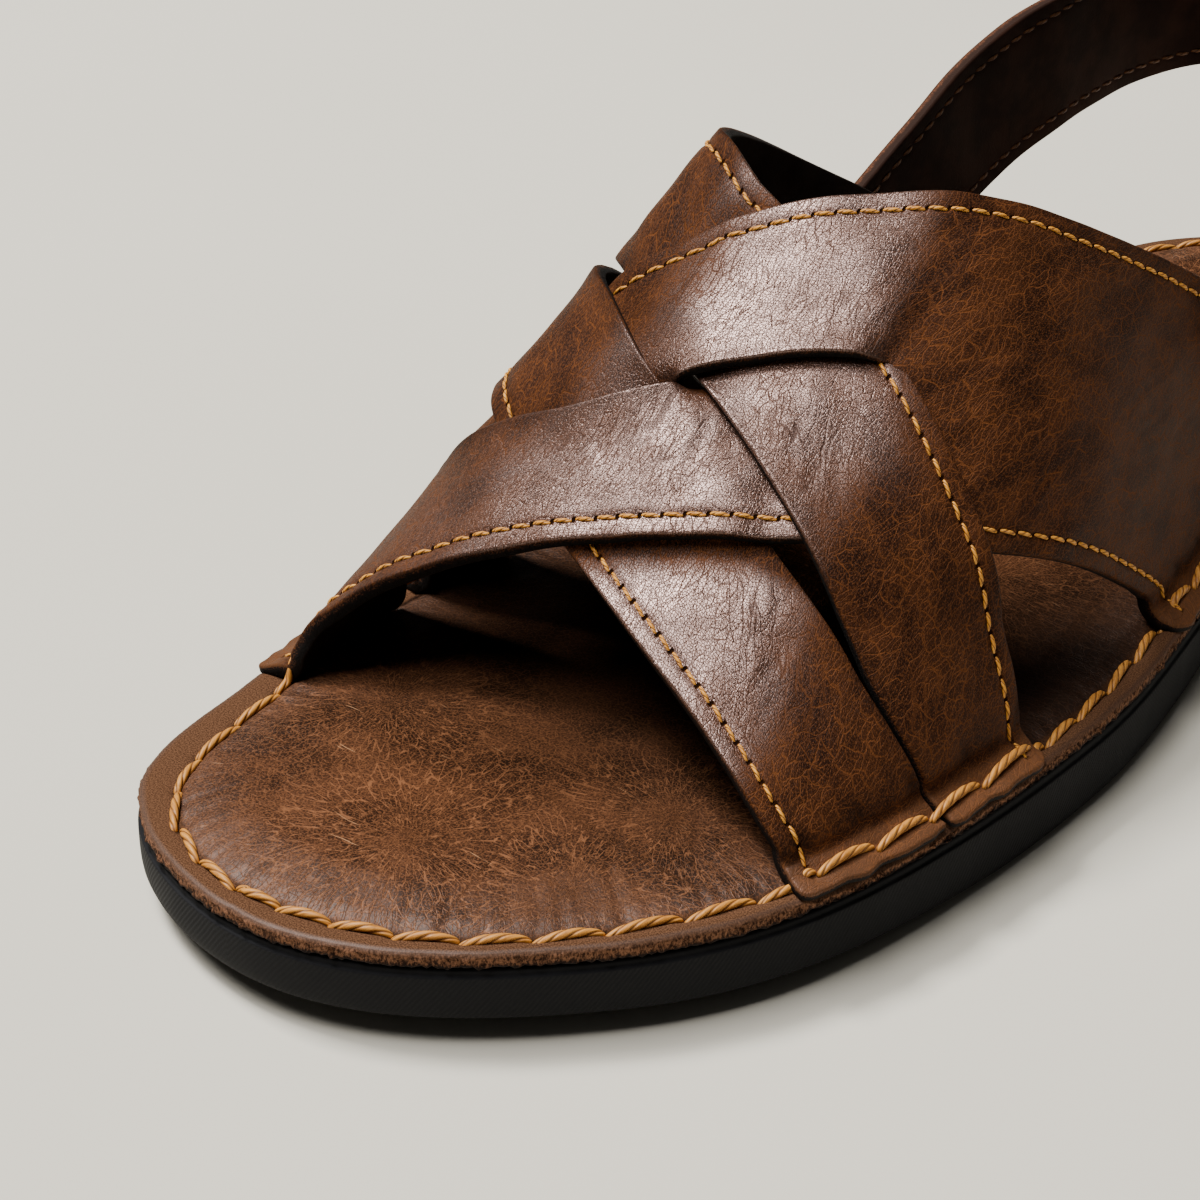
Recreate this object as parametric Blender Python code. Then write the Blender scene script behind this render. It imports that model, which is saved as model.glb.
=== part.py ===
"""A left leather sandal: rubber outsole, leather insole, woven upper and heel strap.

Sizes are in millimetres in the shoe's own frame: x runs to the outer side of the foot, y from toe to heel and
z up from the floor. Points are centred on the sole and scaled to metres when a mesh is made.
"""
import bmesh
import bpy
import numpy as np

MM = 0.001
GAP = 0.3
SHARP_DEGREES = 35.0

# Outline of the sole seen from above, in order round the foot: name, x, y.
OUTLINE = (
    ("toe tip", -10.0, -0.5),
    ("inner toe", -37.9, 11.0),
    ("inner toe joint", -45.8, 36.0),
    ("inner ball", -50.0, 76.0),
    ("inner arch", -41.0, 130.0),
    ("inner waist", -37.0, 185.0),
    ("inner heel", -37.5, 240.0),
    ("inner heel corner", -26.0, 274.0),
    ("heel end", -1.0, 285.0),
    ("outer heel corner", 23.0, 274.0),
    ("outer heel", 35.0, 240.0),
    ("outer waist", 42.0, 190.0),
    ("outer arch", 53.5, 133.3),
    ("outer ball", 55.8, 107.0),
    ("outer toe joint", 50.2, 52.0),
    ("outer toe", 32.4, 21.4),
    ("second toe", 13.0, 5.0),
)
OUTLINE_POINTS = 2400
RIM_STATIONS = 48

# Underside of the outsole from toe to heel: y, height over the floor.
TREAD = (
    (0.0, 3.4),
    (25.0, 3.0),
    (50.0, 2.2),
    (72.0, 1.2),
    (90.0, 0.2),
    (98.0, 0.0),
    (150.0, 0.0),
    (164.0, 1.2),
    (188.0, 1.2),
    (202.0, 0.0),
    (270.0, 0.0),
    (285.0, 1.2),
)
OUTSOLE_TOP = 12.0
# Side of the outsole from the floor up: share of its height, inset from the outline.
OUTSOLE_SIDE = (
    (0.00, 1.60),
    (0.10, 0.55),
    (0.40, 0.00),
    (0.82, 0.10),
    (0.86, 0.75),
    (0.90, 0.25),
    (1.00, 0.45),
)

# Insole: raw edge, rounded rim and flat seam margin, then a padded middle. Inset from the outline, height.
INSOLE_BOTTOM = OUTSOLE_TOP + GAP
INSOLE_TOP = 15.0
INSOLE_EDGE = (
    (1.10, INSOLE_BOTTOM),
    (0.60, 12.9),
    (0.65, 14.1),
    (1.20, 14.7),
    (2.30, INSOLE_TOP),
)
PAD_RISE = 1.6
PAD_RUN = 9.0
PAD_STEPS = 4
# Where the padding starts: y, inset from the outline. It keeps clear of the straps.
PAD_START = (
    (0.0, 6.0),
    (18.0, 6.0),
    (31.0, 8.2),
    (42.0, 12.0),
    (228.0, 12.0),
    (243.0, 8.6),
    (258.0, 6.0),
    (285.0, 6.0),
)
PLATE_COLUMNS = 4

# Ridge of the last under the straps: y, height over the floor, x.
RIDGE = (
    (30.0, 23.8, -8.7),
    (48.0, 32.0, -8.8),
    (64.0, 41.0, -9.4),
    (86.0, 57.8, -10.2),
    (107.0, 71.7, -10.8),
    (128.0, 85.0, -11.2),
    (150.0, 89.5, -11.6),
    (180.0, 95.0, -12.1),
    (215.0, 96.0, -12.1),
)
ARCH_INSET = 8.0
INNER_ROUNDNESS = 2.88
OUTER_ROUNDNESS = 1.96
INNER_SHARE = 0.62
TURN_STEP = 0.001
ALONG_STEP = 0.001
BASE_STEP = 1.0

# Straps
STRAP_THICKNESS = 2.4
WEAVE_BITE = 0.8
WEAVE_RAMP = 0.45
SLIT_MIN = 0.8
SLIT_FADE = 0.1
FLANGE_RADIUS = 3.0
FLANGE_END_INSET = 1.3
FILLET_STEPS = 3
WALL_ROWS = 48
STRIP_COLUMNS = 5

# Bands of the upper. Turn runs from -1 at the inner base over the ridge to +1 at the outer base:
# turn, front edge, slit, slit width, rear edge.
OUTER_BAND = (
    (-1.00, 43.6, 71.0, 4.7, 92.1),
    (-0.75, 44.3, 71.5, 3.4, 92.9),
    (-0.50, 49.2, 73.5, 2.0, 95.5),
    (-0.25, 57.0, 77.9, 1.0, 100.7),
    (0.00, 63.5, 84.0, 1.0, 109.6),
    (0.25, 73.8, 99.6, 1.0, 125.9),
    (0.50, 88.0, 115.5, 0.0, 152.1),
    (0.75, 111.6, 142.0, 0.0, 188.0),
    (1.00, 145.4, 180.0, 0.0, 224.0),
)
INNER_BAND = (
    (-1.00, 122.4, 155.0, 0.0, 208.0),
    (-0.75, 102.8, 128.0, 0.0, 171.0),
    (-0.50, 85.3, 108.0, 1.2, 138.5),
    (-0.25, 72.6, 97.6, 2.6, 121.5),
    (0.00, 66.7, 91.0, 3.8, 116.0),
    (0.25, 60.0, 83.5, 4.4, 109.9),
    (0.50, 55.7, 78.6, 2.4, 105.0),
    (0.75, 52.7, 76.6, 1.0, 101.7),
    (1.00, 53.4, 78.5, 0.8, 99.3),
)
OUTER_SLIT_END = 0.36
INNER_SLIT_END = -0.58

# Heel strap: distance from either sewn end, height of its middle line.
HEEL_STRAP_RISE = (
    (0.0, 36.5),
    (16.0, 44.5),
    (35.0, 53.5),
    (53.0, 60.0),
    (72.0, 64.3),
    (98.0, 66.7),
    (140.0, 68.0),
)
HEEL_STRAP_WIDTH = 27.0
HEEL_STRAP_INNER_END = 158.0
HEEL_STRAP_OUTER_END = 180.0
HEEL_STRAP_INSET = 5.0
HEEL_STRAP_LEAN = 0.08
HEEL_STRAP_CLEARANCE = 0.5
HEEL_STRAP_LEAN_TOP = 46.0
# Where the strap leaves the bands and swings round the heel: y of the last touch, y of the free run.
HEEL_STRAP_INNER_LEAVE = (200.0, 230.0)
HEEL_STRAP_OUTER_LEAVE = (200.0, 240.0)
HEEL_STRAP_ROWS = 44
HEEL_STRAP_COLUMNS = 4


def spline(knots, values, at):
    """Natural cubic spline: second derivatives from the three-term system, none at either end."""
    knots = np.asarray(knots, float)
    values = np.asarray(values, float)
    step = np.diff(knots)
    system = np.eye(len(knots))
    right = np.zeros(len(knots))
    for i in range(1, len(knots) - 1):
        system[i, i - 1:i + 2] = step[i - 1], 2 * (step[i - 1] + step[i]), step[i]
        right[i] = 6 * ((values[i + 1] - values[i]) / step[i] - (values[i] - values[i - 1]) / step[i - 1])
    bend = np.linalg.solve(system, right)
    at = np.asarray(at, float)
    i = np.clip(np.searchsorted(knots, at, side="right") - 1, 0, len(step) - 1)
    b = (at - knots[i]) / step[i]
    a = 1 - b
    curve = step[i] ** 2 / 6 * ((a ** 3 - a) * bend[i] + (b ** 3 - b) * bend[i + 1])
    return a * values[i] + b * values[i + 1] + curve


def table_spline(rows, column, at):
    """Spline through one column of a table whose first column is the knot."""
    return spline([row[0] for row in rows], [row[column] for row in rows], at)


def table_line(rows, at):
    """Straight lines through a table of two columns."""
    return np.interp(at, [row[0] for row in rows], [row[1] for row in rows])


def smooth_step(value):
    """0 below 0, 1 above 1, an S between."""
    value = np.clip(value, 0.0, 1.0)
    return value * value * (3 - 2 * value)


def closed_curve(points, count):
    """Periodic cubic spline through the points, on the square root of the chord length."""
    points = np.asarray(points, float)
    size = len(points)
    step = np.linalg.norm(np.roll(points, -1, 0) - points, axis=1) ** 0.5
    system = np.zeros((size, size))
    right = np.zeros((size, 2))
    for i in range(size):
        before, after = step[i - 1], step[i]
        nxt = (i + 1) % size
        system[i, i - 1] += before
        system[i, i] += 2 * (before + after)
        system[i, nxt] += after
        right[i] = 6 * ((points[nxt] - points[i]) / after - (points[i] - points[i - 1]) / before)
    bend = np.linalg.solve(system, right)
    start = np.concatenate([[0.0], np.cumsum(step)])
    at = np.linspace(0.0, start[-1], count, endpoint=False)
    i = np.clip(np.searchsorted(start, at, side="right") - 1, 0, size - 1)
    nxt = (i + 1) % size
    b = ((at - start[i]) / step[i])[:, None]
    a = 1 - b
    curve = step[i][:, None] ** 2 / 6 * ((a ** 3 - a) * bend[i] + (b ** 3 - b) * bend[nxt])
    return a * points[i] + b * points[nxt] + curve


def outward(ring):
    """Outward normals of a closed ring of plan points, from the points on either side."""
    along = np.roll(ring, -1, 0) - np.roll(ring, 1, 0)
    normal = np.stack([along[:, 1], -along[:, 0]], 1)
    normal /= np.linalg.norm(normal, axis=1)[:, None]
    inside = ((ring - ring.mean(0)) * normal).sum() < 0
    return -normal if inside else normal


FINE_OUTLINE = closed_curve([row[1:] for row in OUTLINE], OUTLINE_POINTS)
FINE_OUTWARD = outward(FINE_OUTLINE)


def side_branch(side, inset):
    """One side of the inset outline, sorted from toe to heel. side is -1 for inner and 1 for outer."""
    ring = FINE_OUTLINE - inset * FINE_OUTWARD
    toe, heel = np.argmin(ring[:, 1]), np.argmax(ring[:, 1])
    first, last = min(toe, heel), max(toe, heel)
    branches = [ring[first:last + 1], np.concatenate([ring[last:], ring[:first + 1]])]
    branches.sort(key=lambda branch: side * branch[:, 0].mean())
    branch = branches[1]
    return branch[np.argsort(branch[:, 1])]


def rim_ring():
    """Rim of the sole in pairs of stations: toe tip, outer side, heel end, inner side back to the toe."""
    inner, outer = side_branch(-1, 0.0), side_branch(1, 0.0)
    share = (1 - np.cos(np.pi * np.arange(1, RIM_STATIONS) / RIM_STATIONS)) / 2
    y = outer[0, 1] + (outer[-1, 1] - outer[0, 1]) * share
    outer_run = np.stack([np.interp(y, outer[:, 1], outer[:, 0]), y], 1)
    inner_run = np.stack([np.interp(y, inner[:, 1], inner[:, 0]), y], 1)
    return np.concatenate([outer[:1], outer_run, outer[-1:], inner_run[::-1]])


RIM = rim_ring()
RIM_OUTWARD = outward(RIM)
CENTRE = np.append((RIM.min(0) + RIM.max(0)) / 2, 0.0)


def rim_points(inset, height):
    """The rim moved in by inset and set at a height, which may vary round the rim."""
    plan = RIM - np.reshape(inset, (-1, 1)) * RIM_OUTWARD
    return np.column_stack([plan, np.broadcast_to(height, len(plan))])


class Shell:
    """Points and faces of one closed solid, gathered ring by ring."""

    def __init__(self):
        self.points = []
        self.faces = []

    def add(self, points):
        """Adds an array of points and returns their numbers in the same layout."""
        flat = points.reshape(-1, 3)
        first = len(self.points)
        self.points.extend(flat)
        return np.arange(first, first + len(flat)).reshape(points.shape[:-1])

    def join_rings(self, lower, upper):
        """Quads between two closed rings of the same length."""
        for i in range(len(lower)):
            j = (i + 1) % len(lower)
            self.faces.append((lower[i], lower[j], upper[j], upper[i]))

    def fill_ring(self, ring, columns, height):
        """Fills a rim ring with rows from the inner to the outer side, at height(points)."""
        half = len(ring) // 2
        share = np.linspace(0.0, 1.0, columns + 1)[1:-1, None]
        rows = []
        for i in range(1, half):
            inner, outer = ring[len(ring) - i], ring[i]
            between = self.points[inner] * (1 - share) + self.points[outer] * share
            between[:, 2] = height(between)
            rows.append([inner, *self.add(between), outer])
        for before, after in zip(rows, rows[1:]):
            for j in range(columns):
                self.faces.append((before[j], before[j + 1], after[j + 1], after[j]))
        for j in range(columns):
            self.faces.append((ring[0], rows[0][j + 1], rows[0][j]))
            self.faces.append((ring[half], rows[-1][j], rows[-1][j + 1]))

    def add_sheet(self, outer, inner, cells):
        """A sheet with thickness: both sides of each kept cell, and a wall where a neighbour is missing."""
        top, bottom = self.add(outer), self.add(inner)
        rows, columns = cells.shape
        for i, j in zip(*np.nonzero(cells)):
            corners = ((i, j), (i, j + 1), (i + 1, j + 1), (i + 1, j))
            self.faces.append([top[corner] for corner in corners])
            self.faces.append([bottom[corner] for corner in reversed(corners)])
            beyond = ((i - 1, j), (i, j + 1), (i + 1, j), (i, j - 1))
            for side, (m, n) in enumerate(beyond):
                if 0 <= m < rows and 0 <= n < columns and cells[m, n]:
                    continue
                a, b = corners[side], corners[(side + 1) % 4]
                self.faces.append((top[b], top[a], bottom[a], bottom[b]))

    def make(self, name, material):
        """The mesh object, centred on the sole, in metres, with its faces turned outwards."""
        points = (np.array(self.points) - CENTRE) * MM
        mesh = bpy.data.meshes.new(name)
        mesh.from_pydata(points.tolist(), [], [[int(i) for i in face] for face in self.faces])
        solid = bmesh.new()
        solid.from_mesh(mesh)
        bmesh.ops.recalc_face_normals(solid, faces=solid.faces)
        if solid.calc_volume(signed=True) < 0:
            bmesh.ops.reverse_faces(solid, faces=solid.faces)
        solid.to_mesh(mesh)
        solid.free()
        mesh.shade_smooth()
        mesh.set_sharp_from_angle(angle=np.radians(SHARP_DEGREES))
        mesh.materials.append(material)
        thing = bpy.data.objects.new(name, mesh)
        bpy.context.collection.objects.link(thing)
        return thing


def surface_material(name, colour, roughness):
    """A plain Principled material."""
    material = bpy.data.materials.new(name)
    material.use_nodes = True
    shader = material.node_tree.nodes["Principled BSDF"]
    shader.inputs["Base Color"].default_value = (*colour, 1.0)
    shader.inputs["Roughness"].default_value = roughness
    shader.inputs["Metallic"].default_value = 0.0
    return material


def make_outsole():
    """Rubber sole: rings up its stepped side, a curved tread below and a flat top."""
    shell = Shell()
    tread = table_line(TREAD, RIM[:, 1])
    rings = []
    for share, inset in OUTSOLE_SIDE:
        rings.append(shell.add(rim_points(inset, tread + share * (OUTSOLE_TOP - tread))))
    for lower, upper in zip(rings, rings[1:]):
        shell.join_rings(lower, upper)
    shell.fill_ring(rings[0], PLATE_COLUMNS, lambda points: table_line(TREAD, points[:, 1]))
    shell.fill_ring(rings[-1], 1, lambda points: OUTSOLE_TOP)
    return shell.make("outsole", surface_material("rubber", (0.012, 0.012, 0.013), 0.6))


def make_insole():
    """Leather footbed: flat below, a rounded rim and a padded middle that rises inside the seam."""
    shell = Shell()
    rings = [shell.add(rim_points(inset, height)) for inset, height in INSOLE_EDGE]
    start = table_line(PAD_START, RIM[:, 1])
    for step in range(PAD_STEPS + 1):
        share = step / PAD_STEPS
        height = INSOLE_TOP + PAD_RISE * smooth_step(share)
        rings.append(shell.add(rim_points(start + share * PAD_RUN, height)))
    for lower, upper in zip(rings, rings[1:]):
        shell.join_rings(lower, upper)
    shell.fill_ring(rings[0], 1, lambda points: INSOLE_BOTTOM)
    shell.fill_ring(rings[-1], PLATE_COLUMNS, lambda points: INSOLE_TOP + PAD_RISE)
    return shell.make("insole", surface_material("footbed_leather", (0.12, 0.06, 0.033), 0.62))


ARCH_SIDES = {side: side_branch(side, ARCH_INSET) for side in (-1, 1)}


def arch_base(side, along):
    """x of the foot of the straps on one side at a station."""
    branch = ARCH_SIDES[side]
    return np.interp(along, branch[:, 1], branch[:, 0])


def arch_frame(along):
    """Ridge x, ridge height over the insole, and the half widths to the inner and the outer base."""
    ridge = table_spline(RIDGE, 2, along)
    rise = table_spline(RIDGE, 1, along) - INSOLE_TOP
    return ridge, rise, ridge - arch_base(-1, along), arch_base(1, along) - ridge


def arch(turn, along):
    """Middle of the strap wall over the last.

    At each station it is half a superellipse about the ridge: the direction turns a quarter circle to
    either base, scaled by that side's half width and the ridge's height, and the reach is
    (|sin|^n + |cos|^n)^(-1/n).
    """
    ridge, rise, inner, outer = arch_frame(along)
    wide = np.where(turn < 0, inner, outer)
    power = np.where(turn < 0, INNER_ROUNDNESS, OUTER_ROUNDNESS)
    angle = turn * np.pi / 2
    reach = (np.abs(np.sin(angle)) ** power + np.abs(np.cos(angle)) ** power) ** (-1 / power)
    x = ridge + wide * reach * np.sin(angle)
    z = INSOLE_TOP + rise * reach * np.cos(angle)
    return np.stack([x, along, z], -1)


def arch_wall_x(side, along, height):
    """x of the same wall at a height: the superellipse solved for its width."""
    ridge, rise, inner, outer = arch_frame(along)
    wide, power = (inner, INNER_ROUNDNESS) if side < 0 else (outer, OUTER_ROUNDNESS)
    share = np.clip((height - INSOLE_TOP) / rise, 0.0, 1.0)
    return ridge + side * wide * (1 - share ** power) ** (1 / power)


def arch_normal(turn, along):
    """Outward normal of the wall, from small steps in both parameters."""
    over = arch(turn + TURN_STEP, along) - arch(turn - TURN_STEP, along)
    back = arch(turn, along + ALONG_STEP) - arch(turn, along - ALONG_STEP)
    normal = np.cross(over, back)
    return normal / np.linalg.norm(normal, axis=-1, keepdims=True)


def even_turn(turn):
    """Turn measured so that it covers ground evenly on both sides of the ridge."""
    return turn * np.where(np.asarray(turn) < 0, INNER_SHARE, 1.0)


def band_edges(band, turn):
    """Front edge, both edges of the slit and rear edge of a band, as y at each turn."""
    turns, *columns = zip(*band)
    knots = even_turn(np.array(turns))
    front, slit, width, rear = [spline(knots, column, even_turn(turn)) for column in columns]
    half = np.maximum(width, SLIT_MIN) / 2
    return front, slit - half, slit + half, rear


def weave(band, turn, along):
    """Height of a strip that crosses another band: 1 on its front strip, -1 on its rear one, 0 well clear."""
    front, slit_front, slit_rear, rear = band_edges(band, turn)
    ahead = (along - front) / (slit_front - front)
    behind = (along - slit_rear) / (rear - slit_rear)
    rise = smooth_step(1 + ahead / WEAVE_RAMP)
    fall = smooth_step((along - slit_front) / (slit_rear - slit_front))
    fade = smooth_step((behind - 1) / WEAVE_RAMP)
    return (rise - 2 * fall) * (1 - fade)


def base_outward(side, along):
    """Outward plan direction at the foot of the straps."""
    ahead, behind = arch_base(side, along - BASE_STEP), arch_base(side, along + BASE_STEP)
    slope = (behind - ahead) / (2 * BASE_STEP)
    normal = np.stack([np.full_like(slope, side), -side * slope, np.zeros_like(slope)], -1)
    return normal / np.linalg.norm(normal, axis=-1, keepdims=True)


def flange_rows(side, along):
    """Stitch-down end of a strap from its tip to the foot of the wall: points and normals, a row each.

    The wall turns outwards through a quarter circle and runs flat over the insole's rim.
    """
    level = INSOLE_TOP + GAP + STRAP_THICKNESS / 2
    out = base_outward(side, along)
    up = np.array([0.0, 0.0, 1.0])
    foot = np.stack([arch_base(side, along), along, np.full_like(along, level + FLANGE_RADIUS)], -1)
    hub = foot + FLANGE_RADIUS * out
    run = ARCH_INSET - FLANGE_END_INSET - FLANGE_RADIUS
    points, normals = [], []
    for step in range(FILLET_STEPS, 0, -1):
        angle = np.pi / 2 * step / FILLET_STEPS
        normal = np.cos(angle) * out + np.sin(angle) * up
        points.append(hub - FLANGE_RADIUS * normal)
        normals.append(normal)
    points.insert(0, points[0] + run * out)
    normals.insert(0, normals[0])
    return np.array(points), np.array(normals)


def strap_columns(band, turn):
    """y of each column of a band: from the front edge to the slit, then from the slit to the rear edge."""
    share = np.linspace(0.0, 1.0, STRIP_COLUMNS + 1)
    share = np.concatenate([share, share])
    front, slit_front, slit_rear, rear = band_edges(band, turn)
    ahead = front + (slit_front - front) * share
    behind = slit_rear + (rear - slit_rear) * share
    return np.where(np.arange(len(share)) <= STRIP_COLUMNS, ahead, behind)


def wall_turns(band):
    """Turns of the rows of a band's wall, column by column, between the tops of its two flange bends."""
    bend_top = GAP + STRAP_THICKNESS / 2 + FLANGE_RADIUS
    ends = []
    for end in (-1.0, 1.0):
        along = strap_columns(band, end)
        rise = table_spline(RIDGE, 1, along) - INSOLE_TOP
        ends.append(end * 2 / np.pi * np.arccos(bend_top / rise))
    share = np.linspace(0.0, 1.0, WALL_ROWS + 1)[:, None]
    return ends[0] * (1 - share) + ends[1] * share


def band_shell(band, other, slit_end, open_side, lift_sign):
    """One band of the upper as a sheet with its slit, its weave and its stitch-down ends.

    Rows run from the inner flange over the wall to the outer flange. Each point moves along the wall's normal
    by the weave's height, which dies away where the slit ends.
    """
    turn = wall_turns(band)
    along = strap_columns(band, turn)
    strip = np.where(np.arange(along.shape[1]) <= STRIP_COLUMNS, 1.0, -1.0)
    split = smooth_step(0.5 + open_side * (turn - slit_end) / SLIT_FADE)
    amplitude = (STRAP_THICKNESS - WEAVE_BITE) / 2
    level = lift_sign * strip * amplitude * split * weave(other, turn, along)
    wall_normal = arch_normal(turn, along)
    wall = arch(turn, along) + level[..., None] * wall_normal
    inner_end, inner_normal = flange_rows(-1, along[0])
    outer_end, outer_normal = flange_rows(1, along[-1])
    points = np.concatenate([inner_end, wall, outer_end[::-1]])
    normals = np.concatenate([inner_normal, wall_normal, outer_normal[::-1]])
    below = np.ones(len(inner_end))
    slit_turn = np.concatenate([-below, turn[:, STRIP_COLUMNS], below])
    middle = (slit_turn[1:] + slit_turn[:-1]) / 2
    cells = np.ones((len(points) - 1, along.shape[1] - 1), bool)
    cells[open_side * (middle - slit_end) > 0, STRIP_COLUMNS] = False
    half = STRAP_THICKNESS / 2
    shell = Shell()
    shell.add_sheet(points + half * normals, points - half * normals, cells)
    return shell


def make_upper():
    """Two slit bands woven through each other and joined where they cross."""
    leather = surface_material("strap_leather", (0.1, 0.042, 0.02), 0.48)
    outer_band = band_shell(OUTER_BAND, INNER_BAND, OUTER_SLIT_END, -1, 1)
    inner_band = band_shell(INNER_BAND, OUTER_BAND, INNER_SLIT_END, 1, -1)
    upper = outer_band.make("upper", leather)
    crossing = inner_band.make("inner_band", leather)
    crossing.hide_render = True
    crossing.display_type = "WIRE"
    join = upper.modifiers.new("join", "BOOLEAN")
    join.operation = "UNION"
    join.object = crossing
    return upper


def heel_path():
    """Plan line of the heel strap from its inner end round the heel to its outer end, and its run so far."""
    inner, outer = side_branch(-1, HEEL_STRAP_INSET), side_branch(1, HEEL_STRAP_INSET)
    inner = inner[inner[:, 1] >= HEEL_STRAP_INNER_END - HEEL_STRAP_WIDTH]
    outer = outer[outer[:, 1] >= HEEL_STRAP_OUTER_END - HEEL_STRAP_WIDTH]
    path = np.concatenate([inner, outer[-2::-1]])
    reach = np.concatenate([[0.0], np.cumsum(np.linalg.norm(np.diff(path, axis=0), axis=1))])
    return path, reach


def make_heel_strap():
    """Strap round the heel: a line that climbs from both bands, with the width square to the climb."""
    path, reach = heel_path()
    third = len(path) // 3
    start = np.interp(HEEL_STRAP_INNER_END, path[:third, 1], reach[:third])
    end = np.interp(HEEL_STRAP_OUTER_END, path[::-1][:third, 1], reach[::-1][:third])
    along = np.linspace(start, end, HEEL_STRAP_ROWS + 1)
    from_end = np.minimum(along - start, end - along)
    middle = table_spline(HEEL_STRAP_RISE, 1, np.minimum(from_end, HEEL_STRAP_RISE[-1][0]))
    climb = np.arctan(np.gradient(middle, along))
    across = np.linspace(-0.5, 0.5, HEEL_STRAP_COLUMNS + 1) * HEEL_STRAP_WIDTH
    at = along[:, None] - np.sin(climb)[:, None] * across
    z = middle[:, None] + np.cos(climb)[:, None] * across
    plan = np.stack([np.interp(at, reach, path[:, i]) for i in (0, 1)], -1)
    x, y = plan[..., 0], plan[..., 1]
    inner_side = (np.arange(len(along)) < len(along) // 2)[:, None]
    offset = STRAP_THICKNESS + HEEL_STRAP_CLEARANCE
    low = np.minimum(z, HEEL_STRAP_LEAN_TOP)
    wall = np.where(inner_side, arch_wall_x(-1, y, low) - offset, arch_wall_x(1, y, low) + offset)
    leave = np.where(inner_side[..., None], HEEL_STRAP_INNER_LEAVE, HEEL_STRAP_OUTER_LEAVE)
    free = smooth_step((y - leave[..., 0]) / (leave[..., 1] - leave[..., 0]))
    points = np.stack([wall * (1 - free) + x * free, y, z], -1)
    out = np.cross(np.gradient(points, axis=1), np.gradient(points, axis=0))
    out /= np.linalg.norm(out, axis=-1, keepdims=True)
    if ((points[..., :2] - path.mean(0)) * out[..., :2]).sum() < 0:
        out = -out
    lean = HEEL_STRAP_LEAN * (z - z.min()) * free
    points = points - lean[..., None] * out
    half = STRAP_THICKNESS / 2
    shell = Shell()
    cells = np.ones((HEEL_STRAP_ROWS, HEEL_STRAP_COLUMNS), bool)
    shell.add_sheet(points + half * out, points - half * out, cells)
    return shell.make("heel_strap", surface_material("heel_strap_leather", (0.085, 0.036, 0.02), 0.5))


def main():
    """Clears the scene and makes the four pieces."""
    for thing in list(bpy.data.objects):
        bpy.data.objects.remove(thing, do_unlink=True)
    make_outsole()
    make_insole()
    make_upper()
    make_heel_strap()


main()
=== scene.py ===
"""Looks of a left leather sandal: rubber sole, padded footbed, woven straps, heel strap and golden stitching.

Sizes are in millimetres in the shoe's own frame, as in the solids: x to the outer side of the foot, y from toe
to heel, z up from the floor. Points are centred on the sole and scaled to metres when a mesh is made.
"""

import bpy
import numpy as np
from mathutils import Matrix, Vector


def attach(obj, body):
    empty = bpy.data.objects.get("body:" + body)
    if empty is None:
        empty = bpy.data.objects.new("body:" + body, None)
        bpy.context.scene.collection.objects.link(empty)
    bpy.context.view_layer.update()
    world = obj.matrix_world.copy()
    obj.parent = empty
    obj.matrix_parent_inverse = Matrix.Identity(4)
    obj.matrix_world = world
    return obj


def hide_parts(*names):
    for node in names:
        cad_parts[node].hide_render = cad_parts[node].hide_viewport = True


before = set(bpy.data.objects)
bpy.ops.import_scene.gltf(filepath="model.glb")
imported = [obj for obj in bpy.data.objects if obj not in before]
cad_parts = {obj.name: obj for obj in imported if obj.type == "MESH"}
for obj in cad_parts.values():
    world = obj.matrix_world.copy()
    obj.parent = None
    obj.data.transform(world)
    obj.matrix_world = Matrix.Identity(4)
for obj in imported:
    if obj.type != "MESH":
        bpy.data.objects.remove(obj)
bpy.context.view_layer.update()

MM = 0.001
CENTRE = np.array([2.8817, 142.2123, 0.0])

# Outline of the sole seen from above, in order from the toe down the inner side and back: x, y.
OUTLINE = (
    (-10.0, -0.5), (-37.9, 11.0), (-45.8, 36.0), (-50.0, 76.0), (-41.0, 130.0), (-37.0, 185.0),
    (-37.5, 240.0), (-26.0, 274.0), (-1.0, 285.0), (23.0, 274.0), (35.0, 240.0), (42.0, 190.0),
    (53.5, 133.3), (55.8, 107.0), (50.2, 52.0), (32.4, 21.4), (13.0, 5.0),
)
# Underside of the outsole: y, height.
TREAD = (
    (0.0, 3.8), (25.0, 3.4), (50.0, 2.6), (72.0, 1.4), (90.0, 0.2), (98.0, 0.0), (150.0, 0.0),
    (164.0, 1.2), (188.0, 1.2), (202.0, 0.0), (270.0, 0.0), (285.0, 1.2),
)
OUTSOLE_TOP = 12.0
# Side of the outsole: share of its height, inset from the outline.
OUTSOLE_SIDE = (
    (0.000, 2.00), (0.015, 1.30), (0.050, 0.75), (0.100, 0.38), (0.180, 0.15), (0.300, 0.04), (0.450, 0.00),
    (0.620, 0.00), (0.780, 0.02), (0.850, 0.05), (0.878, 0.08), (0.888, 0.14), (0.894, 0.26), (0.900, 0.44),
    (0.925, 0.56), (0.955, 0.60), (0.985, 0.72), (1.000, 1.05),
)
INSOLE_TOP = 15.0
GAP = 0.3
# Section of the footbed from its underside round the raw edge and the burnished rim to the seam margin:
# inset from the outline, height, share of raw fibre.
FOOTBED_EDGE = (
    (2.20, 12.35, 1.0), (1.00, 12.30, 1.0), (0.55, 12.42, 1.0), (0.36, 12.70, 1.0), (0.34, 13.05, 1.0),
    (0.38, 13.40, 1.0), (0.36, 13.70, 1.0), (0.34, 13.95, 1.0), (0.36, 14.15, 0.85), (0.42, 14.34, 0.4),
    (0.54, 14.54, 0.1), (0.76, 14.72, 0.0), (1.05, 14.84, 0.0), (1.45, 14.92, 0.0), (1.95, 14.96, 0.0),
    (2.50, 14.97, 0.0), (3.00, 14.95, 0.0), (3.50, 14.92, 0.0),
)
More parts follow.
